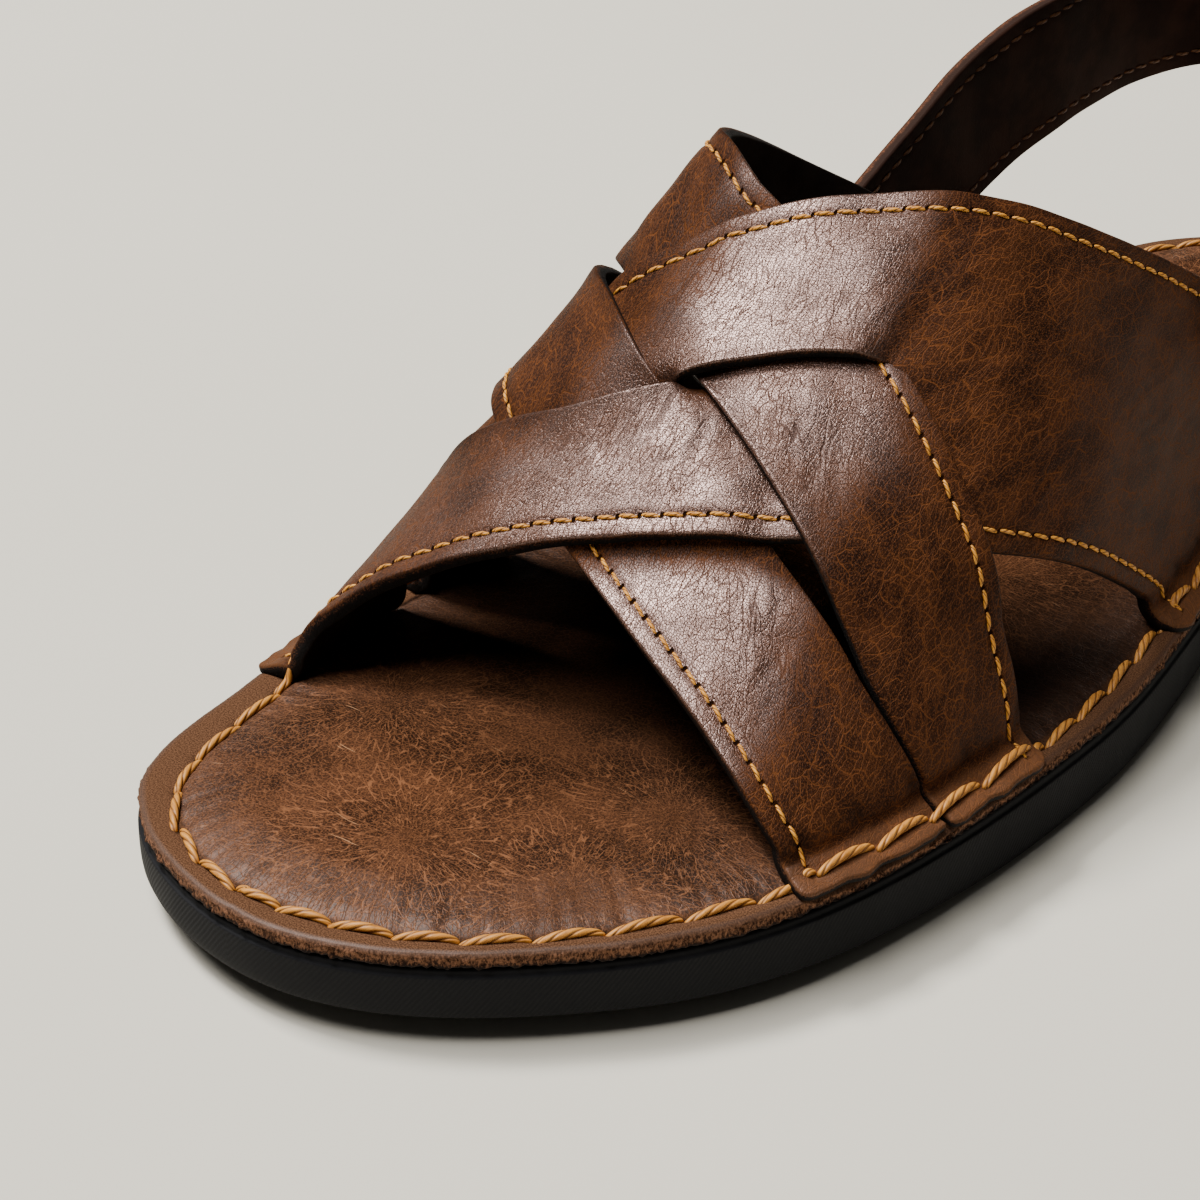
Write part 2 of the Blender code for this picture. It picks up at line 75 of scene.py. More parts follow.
# Line of the seam round the footbed: run round the outline from the toe down the inner side, inset.
SEAM_LINE = (
    (0.0, 4.1), (11.0, 3.7), (20.0, 4.3), (31.0, 6.0), (43.0, 6.9), (56.0, 6.6), (75.0, 5.8), (110.0, 4.6),
    (330.0, 4.6), (400.0, 4.2), (412.0, 2.8), (484.0, 2.7), (494.0, 3.7), (504.0, 3.7), (515.0, 3.3), (525.0, 3.1),
    (536.0, 2.8), (549.0, 2.4), (562.0, 2.2), (572.0, 2.3), (583.0, 2.7), (591.0, 3.4), (602.0, 3.5), (613.0, 3.1),
    (623.0, 2.8), (633.0, 3.0), (642.0, 3.6), (652.0, 4.3), (661.0, 4.4), (666.7, 4.1),
)
# Seam holes round the toe and up the outer side, as runs from the toe: inner side positive, outer side negative.
SEAM_HOLES = (
    63.5, 53.8, 42.5, 30.8, 20.2, 11.3, 2.3, -6.0, -14.9, -24.5, -33.8, -43.5, -53.4, -64.6, -75.7, -85.0,
    -95.5, -106.0, -117.5, -130.0, -133.8, -143.0, -152.4, -162.7, -172.7, -185.0,
)
SEAM_PITCH = 9.7
SEAM_BASE = 4.75
SEAM_GROOVE = 0.36
INSOLE_UNDER = 12.35
PAD_RISE = 1.2
PAD_SWELL = 0.75
PAD_RUN = 9.0
PAD_START = (
    (0.0, 6.0), (18.0, 6.0), (31.0, 8.2), (42.0, 12.0), (228.0, 12.0), (243.0, 8.6), (258.0, 6.0), (285.0, 6.0),
)

# Ridge of the last under the straps: y, height over the floor, x.
RIDGE = (
    (30.0, 23.8, -8.7), (48.0, 32.0, -8.8), (64.0, 41.0, -9.4), (86.0, 57.8, -10.2), (107.0, 72.8, -10.8),
    (128.0, 87.7, -11.2), (150.0, 92.7, -11.6), (180.0, 97.2, -12.1), (215.0, 97.7, -12.1),
)
ARCH_INSET = 8.0
# Squareness of the wall on the inner side: y, power of the superellipse.
INNER_ROUNDNESS = ((94.0, 2.88), (97.0, 2.94), (101.0, 3.10), (105.0, 3.26), (108.0, 3.32))
OUTER_ROUNDNESS = 1.96
INNER_SHARE = 0.62

STRAP_THICKNESS = 2.4
FLANGE_RADIUS = 3.0
FLANGE_TIP_INSET = -0.4
FLANGE_SLOPE = 0.27
FLANGE_FLARE = {-1: 0.4, 1: 1.6}
FLANGE_FOOT = INSOLE_TOP + GAP + STRAP_THICKNESS / 2 + FLANGE_RADIUS
EDGE_RADIUS = 0.45
CROWN = np.array([0.24, -0.53, 0.812])
CROWN_TILT = 0.22
# Bands of the upper: turn, front edge, slit, slit width, rear edge.
OUTER_BAND = (
    (-1.00, 43.6, 71.4, 6.4, 92.1), (-0.75, 44.3, 71.7, 3.9, 92.9), (-0.50, 49.2, 73.5, 2.0, 95.5),
    (-0.25, 57.0, 77.9, 1.0, 100.7), (0.00, 63.5, 84.0, 1.0, 109.6), (0.25, 73.8, 99.6, 1.0, 125.9),
    (0.50, 88.0, 115.5, 0.0, 152.1), (0.75, 111.6, 142.0, 0.0, 188.0), (1.00, 145.4, 180.0, 0.0, 224.0),
)
INNER_BAND = (
    (-1.00, 122.4, 155.0, 0.0, 211.0), (-0.75, 102.8, 128.0, 0.0, 179.7), (-0.50, 85.3, 108.0, 1.2, 135.9),
    (-0.25, 72.6, 97.6, 2.6, 120.7), (0.00, 66.7, 91.0, 3.8, 115.6), (0.25, 60.0, 83.5, 4.4, 109.9),
    (0.50, 55.7, 78.6, 2.4, 105.0), (0.75, 52.7, 76.6, 1.0, 101.7), (1.00, 53.4, 78.5, 0.8, 99.3),
)
OUTER_SLIT_END = 0.36
INNER_SLIT_END = -0.58

# Heel strap: distance from either sewn end, height of its middle line.
HEEL_STRAP_RISE = (
    (0.0, 36.5), (16.0, 44.5), (35.0, 53.5), (53.0, 60.0), (72.0, 64.3), (98.0, 66.7), (140.0, 68.0),
)
HEEL_STRAP_WIDTH = 27.0
HEEL_STRAP_ENDS = (158.0, 180.0)
HEEL_STRAP_INSET = 5.0
HEEL_STRAP_LEAN = 0.08
HEEL_STRAP_CLEARANCE = 0.5
HEEL_STRAP_LEAN_TOP = 46.0
HEEL_STRAP_INNER_LEAVE = (200.0, 230.0)
HEEL_STRAP_OUTER_LEAVE = (200.0, 240.0)

# Weave and stitching.
WEAVE_GAP = 0.25
WEAVE_REACH = 8.0
WEAVE_FADE = 13.0
SLIT_OPENING = 6.0
THREAD_PITCH = 3.3
THREAD_MARGIN = 3.0
THREAD_LAY, THREAD_PLIES = 2.4, 2
CORD_LAY, CORD_PLIES = 8.0, 3
# Fine ribs on the side of the rubber: distance from rib to rib, lean.
RIB_PITCH, RIB_LEAN = 0.8, 0.55
# Columns of a strap from each edge inwards, the one under the thread, and how many lie between.
EDGE_STEPS = np.array([0.0, 0.10, 0.25, 0.45, 0.75, 1.2, 1.7, 2.2, 2.6, 3.0, 3.4, 3.9, 4.5])
SEAM_COLUMN = 9
STRIP_MIDDLE = 16


def spline(knots, values, at):
    """Natural cubic spline: second derivatives from the three-term system, none at either end."""
    knots = np.asarray(knots, float)
    values = np.asarray(values, float)
    step = np.diff(knots)
    system = np.eye(len(knots))
    right = np.zeros(len(knots))
    for i in range(1, len(knots) - 1):
        system[i, i - 1:i + 2] = step[i - 1], 2 * (step[i - 1] + step[i]), step[i]
        right[i] = 6 * ((values[i + 1] - values[i]) / step[i] - (values[i] - values[i - 1]) / step[i - 1])
    bend = np.linalg.solve(system, right)
    at = np.asarray(at, float)
    i = np.clip(np.searchsorted(knots, at, side="right") - 1, 0, len(step) - 1)
    b = (at - knots[i]) / step[i]
    a = 1 - b
    curve = step[i] ** 2 / 6 * ((a ** 3 - a) * bend[i] + (b ** 3 - b) * bend[i + 1])
    return a * values[i] + b * values[i + 1] + curve


def table_spline(rows, column, at):
    """Spline through one column of a table whose first column is the knot."""
    return spline([row[0] for row in rows], [row[column] for row in rows], at)


def table_line(rows, at):
    """Straight lines through a table of two columns."""
    return np.interp(at, [row[0] for row in rows], [row[1] for row in rows])


def smooth_step(value):
    """0 below 0, 1 above 1, an S between."""
    value = np.clip(value, 0.0, 1.0)
    return value * value * (3 - 2 * value)


def hump(value):
    """A bell of height 1 about 0: exp(-value squared)."""
    return np.exp(-np.square(value))


def unit(vectors):
    """Vectors scaled to length 1."""
    return vectors / np.linalg.norm(vectors, axis=-1, keepdims=True)


def path_length(points):
    """Length run along lines of points, from the first row on."""
    steps = np.linalg.norm(np.diff(points, axis=0), axis=-1)
    return np.concatenate([np.zeros_like(steps[:1]), np.cumsum(steps, 0)])


def ripple(seed, wavelength, *coordinates):
    """Smooth noise of about unit height: a sum of plane waves in seeded directions about one wavelength."""
    rng = np.random.default_rng(seed)
    total = 0.0
    waves = 9
    for _ in range(waves):
        direction = rng.normal(size=len(coordinates))
        direction /= np.linalg.norm(direction)
        pitch = wavelength * rng.uniform(0.6, 1.6)
        phase = rng.uniform(0, 2 * np.pi)
        total = total + np.sin(sum(c * d for c, d in zip(coordinates, direction)) * 2 * np.pi / pitch + phase)
    return total * np.sqrt(2 / waves)


def closed_curve(points, count):
    """Periodic cubic spline through the points, on the square root of the chord length."""
    points = np.asarray(points, float)
    size = len(points)
    step = np.linalg.norm(np.roll(points, -1, 0) - points, axis=1) ** 0.5
    system = np.zeros((size, size))
    right = np.zeros((size, 2))
    for i in range(size):
        before, after = step[i - 1], step[i]
        nxt = (i + 1) % size
        system[i, i - 1] += before
        system[i, i] += 2 * (before + after)
        system[i, nxt] += after
        right[i] = 6 * ((points[nxt] - points[i]) / after - (points[i] - points[i - 1]) / before)
    bend = np.linalg.solve(system, right)
    start = np.concatenate([[0.0], np.cumsum(step)])
    at = np.linspace(0.0, start[-1], count, endpoint=False)
    i = np.clip(np.searchsorted(start, at, side="right") - 1, 0, size - 1)
    nxt = (i + 1) % size
    b = ((at - start[i]) / step[i])[:, None]
    a = 1 - b
    curve = step[i][:, None] ** 2 / 6 * ((a ** 3 - a) * bend[i] + (b ** 3 - b) * bend[nxt])
    return a * points[i] + b * points[nxt] + curve


def rim_curve():
    """The outline from its foremost point down the inner side, its outward normals and the run so far."""
    ring = closed_curve(OUTLINE, 2400)
    ring = np.roll(ring, -np.argmin(ring[:, 1]), 0)
    along = np.roll(ring, -1, 0) - np.roll(ring, 1, 0)
    normal = unit(np.stack([along[:, 1], -along[:, 0]], 1))
    if ((ring - ring.mean(0)) * normal).sum() < 0:
        normal = -normal
    ring, normal = np.vstack([ring, ring[:1]]), np.vstack([normal, normal[:1]])
    return ring, normal, path_length(ring)


RIM, RIM_OUT, RIM_RUN = rim_curve()
RIM_LENGTH = RIM_RUN[-1]
HEEL_INDEX = np.argmax(RIM[:, 1])
HEEL_RUN = RIM_RUN[HEEL_INDEX]


def seam_holes():
    """Runs of all seam holes in order: the measured ones, then even steps along the rest of the outline."""
    known = np.sort(np.mod(SEAM_HOLES, RIM_LENGTH))
    first, last = SEAM_HOLES[0], RIM_LENGTH + SEAM_HOLES[-1]
    rest = np.linspace(first, last, round((last - first) / SEAM_PITCH) + 1)[1:-1]
    return np.sort(np.concatenate([known, rest]))


HOLES = seam_holes()


def rim_at(run, inset):
    """Plan points on the outline moved in by inset, at lengths run round it."""
    run = np.mod(run, RIM_LENGTH)
    place = np.stack([np.interp(run, RIM_RUN, RIM[:, i]) for i in (0, 1)], -1)
    out = np.stack([np.interp(run, RIM_RUN, RIM_OUT[:, i]) for i in (0, 1)], -1)
    return place - np.asarray(inset)[..., None] * out


def side_branch(side, inset):
    """One side of the inset outline from toe to heel: -1 inner, 1 outer. Points and their run round the rim."""
    ring = RIM - inset * RIM_OUT
    piece = slice(0, HEEL_INDEX + 1) if side < 0 else slice(HEEL_INDEX, None)
    order = np.argsort(ring[piece][:, 1])
    return ring[piece][order], RIM_RUN[piece][order]


def seam_inset(run):
    """Inset of the seam at a run round the rim."""
    return table_line(SEAM_LINE, np.mod(run, RIM_LENGTH))


def near_hole(run):
    """Distance along the rim to the nearest seam hole."""
    run = np.mod(run, RIM_LENGTH)
    laps = np.concatenate([HOLES[-1:] - RIM_LENGTH, HOLES, HOLES[:1] + RIM_LENGTH])
    after = np.clip(np.searchsorted(laps, run), 1, len(laps) - 1)
    return np.minimum(run - laps[after - 1], laps[after] - run)


ARCH_SIDES = {side: side_branch(side, ARCH_INSET) for side in (-1, 1)}


def arch_base(side, along):
    """x of the foot of the straps on one side at a station."""
    branch = ARCH_SIDES[side][0]
    return np.interp(along, branch[:, 1], branch[:, 0])


def arch_run(side, along):
    """Run round the rim at the foot of the straps."""
    branch, run = ARCH_SIDES[side]
    return np.interp(along, branch[:, 1], run)


def arch_frame(along):
    """Ridge x, ridge height over the insole, and the half widths to the inner and the outer base."""
    ridge = table_spline(RIDGE, 2, along)
    rise = table_spline(RIDGE, 1, along) - INSOLE_TOP
    return ridge, rise, ridge - arch_base(-1, along), arch_base(1, along) - ridge


def arch(turn, along):
    """Middle of the strap wall over the last: half a superellipse about the ridge at each station."""
    ridge, rise, inner, outer = arch_frame(along)
    wide = np.where(turn < 0, inner, outer)
    power = np.where(turn < 0, table_line(INNER_ROUNDNESS, along), OUTER_ROUNDNESS)
    angle = turn * np.pi / 2
    reach = (np.abs(np.sin(angle)) ** power + np.abs(np.cos(angle)) ** power) ** (-1 / power)
    x = ridge + wide * reach * np.sin(angle)
    z = INSOLE_TOP + rise * reach * np.cos(angle)
    return np.stack([x, along, z], -1)


def arch_wall_x(side, along, height):
    """x of the same wall at a height: the superellipse solved for its width."""
    ridge, rise, inner, outer = arch_frame(along)
    wide, power = (inner, table_line(INNER_ROUNDNESS, along)) if side < 0 else (outer, OUTER_ROUNDNESS)
    share = np.clip((height - INSOLE_TOP) / rise, 0.0, 1.0)
    return ridge + side * wide * (1 - share ** power) ** (1 / power)


def arch_slopes(turn, along):
    """Rates of the wall's place with turn and with the station."""
    small = 1e-3
    over = (arch(turn + small, along) - arch(turn - small, along)) / (2 * small)
    back = (arch(turn, along + small) - arch(turn, along - small)) / (2 * small)
    return over, back


def arch_normal(turn, along):
    """Outward normal of the wall."""
    return unit(np.cross(*arch_slopes(turn, along)))


def even_turn(turn):
    """Turn measured so that it covers ground evenly on both sides of the ridge."""
    return turn * np.where(np.asarray(turn) < 0, INNER_SHARE, 1.0)


def band_lines(band, turn):
    """Front edge, slit, slit width and rear edge of a band, as y at each turn."""
    turns, *columns = zip(*band)
    knots = even_turn(np.array(turns))
    return [spline(knots, column, even_turn(turn)) for column in columns]


def across_rate(band, column, turn):
    """Millimetres square to a band's own line for each millimetre of y, on one of its lines."""
    small = 1e-3
    line = band_lines(band, turn)[column]
    slope = (band_lines(band, turn + small)[column] - band_lines(band, turn - small)[column]) / (2 * small)
    over, back = arch_slopes(turn, line)
    tangent = unit(over + back * slope[..., None])
    square = back - (back * tangent).sum(-1, keepdims=True) * tangent
    return np.linalg.norm(square, axis=-1)


def make_mesh(name, points, quads, zones, materials, marks=None, corner_uv=None, sharp=55.0):
    """A mesh piece from points in millimetres and four corners a face, turned outwards, riding on the shoe.

    zones picks each face's material, marks are named values a point, corner_uv is a pair for each corner.
    """
    points = (np.asarray(points, float).reshape(-1, 3) - CENTRE) * MM
    corner = points[quads]
    first = np.einsum("ij,ij->i", corner[:, 0], np.cross(corner[:, 1], corner[:, 2])).sum()
    second = np.einsum("ij,ij->i", corner[:, 0], np.cross(corner[:, 2], corner[:, 3])).sum()
    if first + second < 0:
        quads = quads[:, ::-1]
        corner_uv = None if corner_uv is None else corner_uv[:, ::-1]
    mesh = bpy.data.meshes.new(name)
    mesh.from_pydata(points.tolist(), [], quads.tolist())
    for material in materials:
        mesh.materials.append(material)
    mesh.polygons.foreach_set("material_index", np.broadcast_to(zones, len(quads)).astype(np.int32))
    for mark, values in (marks or {}).items():
        values = np.asarray(values, np.float32).reshape(len(points), -1)
        kind, field = ("FLOAT_VECTOR", "vector") if values.shape[1] == 3 else ("FLOAT", "value")
        mesh.attributes.new(mark, kind, "POINT").data.foreach_set(field, values.ravel())
    if corner_uv is not None:
        mesh.uv_layers.new(name="run").data.foreach_set("uv", corner_uv.astype(np.float32).ravel())
    mesh.update()
    mesh.shade_smooth()
    mesh.set_sharp_from_angle(angle=np.radians(sharp))
    piece = bpy.data.objects.new(name, mesh)
    bpy.context.collection.objects.link(piece)
    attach(piece, "root")
    return piece


def cells_of(grid):
    """The four corners of every cell of a grid, in order round the cell."""
    return np.stack([grid[:-1, :-1], grid[:-1, 1:], grid[1:, 1:], grid[1:, :-1]], 2)


def ring_quads(rings):
    """Cells between rings of point numbers, each ring closed on itself."""
    return cells_of(np.hstack([rings, rings[:, :1]])).reshape(-1, 4)


def sheet_quads(top, bottom, cells):
    """Faces of a sheet with thickness and their zones: 0 above, 1 below, 2 for a wall where no cell follows."""
    upper, lower = cells_of(top), cells_of(bottom)
    faces = [upper[cells], lower[cells][:, ::-1]]
    near = np.pad(cells, 1)
    beyond = (near[:-2, 1:-1], near[1:-1, 2:], near[2:, 1:-1], near[1:-1, :-2])
    for side, neighbour in enumerate(beyond):
        free = cells & ~neighbour
        a, b = side, (side + 1) % 4
        faces.append(np.stack([upper[free][:, b], upper[free][:, a], lower[free][:, a], lower[free][:, b]], 1))
    zones = np.repeat([0, 1, 2, 2, 2, 2], [len(face) for face in faces])
    return np.concatenate(faces), zones


def corner_drop(distance, radius):
    """How far a rounded corner falls: a quarter circle of that radius at the edge, 0 beyond it."""
    share = 1 - np.clip(distance / radius, 0.0, 1.0)
    return radius * (1 - np.sqrt(1 - share ** 2))


class Finish:
    """A procedural material: short calls that add nodes and wire them to the Principled shader."""

    def __init__(self, name, flat=False):
        self.dimensions = "2D" if flat else "3D"
        self.material = bpy.data.materials.new(name)
        self.material.use_nodes = True
        self.tree = self.material.node_tree
        self.shader = self.tree.nodes["Principled BSDF"]

    def feed(self, socket, value):
        """Links a socket to another one, or gives it a plain value."""
        if isinstance(value, bpy.types.NodeSocket):
            self.tree.links.new(value, socket)
        else:
            socket.default_value = value

    def add(self, kind, inputs=(), **settings):
        """A node with its settings, its inputs given as values or sockets by name or number."""
        node = self.tree.nodes.new("ShaderNode" + kind)
        for key, value in settings.items():
            setattr(node, key, value)
        for key, value in dict(inputs).items():
            self.feed(node.inputs[key], value)
        return node

    def set(self, **sockets):
        """Sets the shader's sockets, named with underscores for spaces."""
        for key, value in sockets.items():
            self.feed(self.shader.inputs[key.replace("_", " ")], value)
        return self.material

    def place(self):
        """Object coordinates in millimetres."""
        return self.stretch(self.add("TexCoord").outputs["Object"], (1000, 1000, 1000))

    def mark(self, name, vector=False):
        """A named value or vector of the mesh."""
        return self.add("Attribute", attribute_name=name).outputs["Vector" if vector else "Fac"]

    def stretch(self, vector, scale, turn=0.0):
        """The vector turned about z, then scaled."""
        turned = self.add("Mapping", {"Vector": vector, "Rotation": (0, 0, turn)}).outputs[0]
        return self.add("VectorMath", {0: turned, 1: scale}, operation="MULTIPLY").outputs[0]

    def math(self, operation, a, b=0.0, clamp=False):
        """Two values joined by a sum, product or the like."""
        return self.add("Math", {0: a, 1: b}, operation=operation, use_clamp=clamp).outputs[0]

    def off_middle(self, value):
        """Distance of a value from one half."""
        return self.math("ABSOLUTE", self.math("SUBTRACT", value, 0.5))

    def noise(self, vector, size, detail=2.0, roughness=0.5):
        """Noise whose features are about size long."""
        node = self.add("TexNoise", {"Vector": vector, "Scale": 1 / size, "Detail": detail, "Roughness": roughness},
                        noise_dimensions=self.dimensions)
        return node.outputs["Fac"]

    def warp(self, vector, size, amount):
        """The vector pushed about by noise."""
        push = self.add("TexNoise", {"Vector": vector, "Scale": 1 / size, "Detail": 1.0},
                        noise_dimensions=self.dimensions).outputs["Color"]
        centred = self.add("VectorMath", {0: push, 1: (0.5, 0.5, 0.5)}, operation="SUBTRACT").outputs[0]
        scaled = self.add("VectorMath", {0: centred, "Scale": amount}, operation="SCALE").outputs[0]
        return self.add("VectorMath", {0: vector, 1: scaled}, operation="ADD").outputs[0]

    def cracks(self, vector, size):
        """Distance to the nearest line of a net of cells about size across."""
        node = self.add("TexVoronoi", {"Vector": vector, "Scale": 1 / size}, feature="DISTANCE_TO_EDGE",
                        voronoi_dimensions=self.dimensions)
        return node.outputs["Distance"]

    def trace(self, vector, width):
        """Wandering lines: 1 where smooth noise passes through its middle value, 0 away from it."""
        return self.near(self.off_middle(self.noise(vector, 1.0, 1.0)), width)

    def span(self, value, low, high, to_low=0.0, to_high=1.0):
        """The value carried smoothly from one range to another."""
        node = self.add("MapRange", {0: value, 1: low, 2: high, 3: to_low, 4: to_high},
                        interpolation_type="SMOOTHSTEP")
        return node.outputs[0]

    def near(self, distance, width):
        """1 where a distance is 0, falling smoothly to 0 at the width."""
        return self.span(distance, 0.0, width, 1.0, 0.0)

    def blend(self, share, a, b):
        """Two colours mixed by a share."""
        node = self.add("Mix", data_type="RGBA")
        for key, value in ((0, share), (6, a), (7, b)):
            self.feed(node.inputs[key], (*value, 1.0) if isinstance(value, tuple) else value)
        return node.outputs[2]

    def product(self, *values):
        """Values multiplied together."""
        total = values[0]
        for value in values[1:]:
            total = self.math("MULTIPLY", total, value)
        return total

    def relief(self, *layers):
        """One bump from layers of a value between 0 and 1 and its height in millimetres, added up."""
        total = self.product(*layers[0])
        for value, height in layers[1:]:
            total = self.math("ADD", total, self.product(value, height))
        return self.add("Bump", {"Height": total, "Distance": MM, "Strength": 1.0}).outputs[0]


def deepened(colour, share):
    """A colour made darker or lighter by a share."""
    return tuple(c * share for c in colour)


def strap_leather(name, dark, ground, warm):
    """Waxed pull-up leather: fine pebbles, a broken net of wrinkles that runs across the strap, thread holes.

    Wrinkles show lighter where the strap is dull and are painted darker where it is glossy, where the crown light's
    highlight falls.
    """
    f = Finish(name, flat=True)
    grain, fold, gloss_and_shade = f.mark("grain", vector=True), f.mark("fold", vector=True), f.mark("gloss_and_shade")
    bent = f.warp(f.warp(grain, 11.0, 4.0), 1.8, 0.8)
    fine_net = f.cracks(f.stretch(bent, (1.00, 0.36, 1.0)), 1.0)
    net = f.cracks(f.stretch(bent, (0.40, 0.23, 1.0), 0.15), 1.0)
    veins = f.trace(f.stretch(f.warp(f.warp(fold, 7.0, 2.5), 1.6, 0.5), (0.40, 0.07, 1.0)), 0.036)
    pebble = f.cracks(f.warp(grain, 0.7, 0.3), 0.42)
    pores = f.noise(grain, 0.30, 2.0, 0.6)
    broad = f.noise(grain, 9.0, 3.0, 0.6)
    patch = f.noise(grain, 5.0, 2.0, 0.5)
    fine_line = f.product(f.near(fine_net, 0.095), f.span(broad, 0.40, 0.58, 0.38, 0.80))
    net_line = f.product(f.near(net, 0.042), f.span(patch, 0.36, 0.52, 0.25, 0.95),
                         f.span(gloss_and_shade, 0.0, 0.6, 1.0, 0.40))
    creased = f.math("MAXIMUM", f.mark("creased"), f.span(patch, 0.52, 0.66, 0.0, 0.6))
    vein_line = f.product(veins, creased, f.span(gloss_and_shade, 0.0, 0.5, 0.45, 1.0))
    lines = f.math("MAXIMUM", f.math("MAXIMUM", fine_line, net_line), vein_line)
    valley = f.near(pebble, 0.16)
    colour = f.blend(f.span(broad, 0.30, 0.70), dark, ground)
    colour = f.blend(f.product(f.span(pores, 0.50, 0.68), 0.45), colour, warm)
    colour = f.blend(f.product(valley, f.span(pores, 0.62, 0.40), 0.65), colour, deepened(dark, 0.3))
    # Wrinkle lines painted dark where the strap is glossy: painted shade in the lines within the highlight.
    line_colour = f.blend(f.span(gloss_and_shade, 0.0, 0.8), warm, deepened(dark, 1.6))
    colour = f.blend(f.product(lines, 0.70), colour, line_colour)
    # Painted shade: darker in the dents at the seam holes and beside the opened slit, and along the front and rear
    # edges.
    colour = f.blend(f.mark("painted_shade"), colour, deepened(dark, 0.35))
    inside = f.off_middle(f.math("FRACT", f.math("ADD", f.mark("seam_run"), 0.5)))
    aside = f.math("ABSOLUTE", f.mark("seam_off"))
    hole = f.product(f.span(inside, 0.03, 0.12, 1.0, 0.0), f.span(aside, 0.20, 0.55, 1.0, 0.0))
    # Thread holes painted near black: painted shade inside the holes.
    colour = f.blend(f.product(hole, 0.85), colour, (0.007, 0.0032, 0.0020))
    colour = f.blend(f.product(f.mark("worn"), 0.45), colour, (0.170, 0.075, 0.034))
    relief = f.relief((pores, 0.026), (valley, -0.029), (lines, -0.060), (hole, -0.30))
    dull = f.math("ADD", f.span(gloss_and_shade, 0.0, 0.8, 0.52, 0.30), f.span(pores, 0.3, 0.7, 0.0, 0.08))
    rough = f.math("ADD", dull, f.product(lines, 0.15))
    gloss = f.product(f.span(gloss_and_shade, 0.0, 1.0, 0.05, 0.88), f.span(valley, 0.0, 1.0, 1.0, 0.50),
                      f.span(lines, 0.0, 1.0, 1.0, 0.45), f.near(hole, 0.6))
    f.set(Specular_IOR_Level=0.3)
    return f.set(Base_Color=colour, Roughness=rough, Normal=relief, Specular_IOR_Level=gloss, IOR=1.9,
                 Specular_Tint=(1.0, 0.70, 0.62, 1.0))


def raw_edge(name, dark, fibre):
    """Cut leather edge: brown fibre with lint towards the grain side, burnished black towards the inner side."""
    f = Finish(name)
    place = f.place()
    lint = f.noise(place, 0.32, 3.0, 0.7)
    streak = f.noise(place, 1.1, 3.0, 0.65)
    burnt = f.span(f.math("ADD", f.mark("depth"), f.product(f.math("SUBTRACT", streak, 0.5), 0.9)), 0.10, 0.50)
    colour = f.blend(f.span(lint, 0.48, 0.64), dark, fibre)
    colour = f.blend(burnt, colour, deepened(dark, 0.35))
    return f.set(Base_Color=colour, Roughness=0.8, Normal=f.relief((lint, 0.16), (streak, 0.14)),
                 Specular_IOR_Level=0.2)


def strap_lining(name, dark, ground):
    """Flesh side of the straps: near black brown with a soft nap."""
    f = Finish(name)
    place = f.place()
    nap = f.noise(place, 0.5, 3.0, 0.7)
    wear = f.noise(place, 9.0, 3.0, 0.6)
    colour = f.blend(f.span(wear, 0.35, 0.7), dark, ground)
    return f.set(Base_Color=colour, Roughness=0.75, Normal=f.relief((nap, 0.10)), Specular_IOR_Level=0.08)


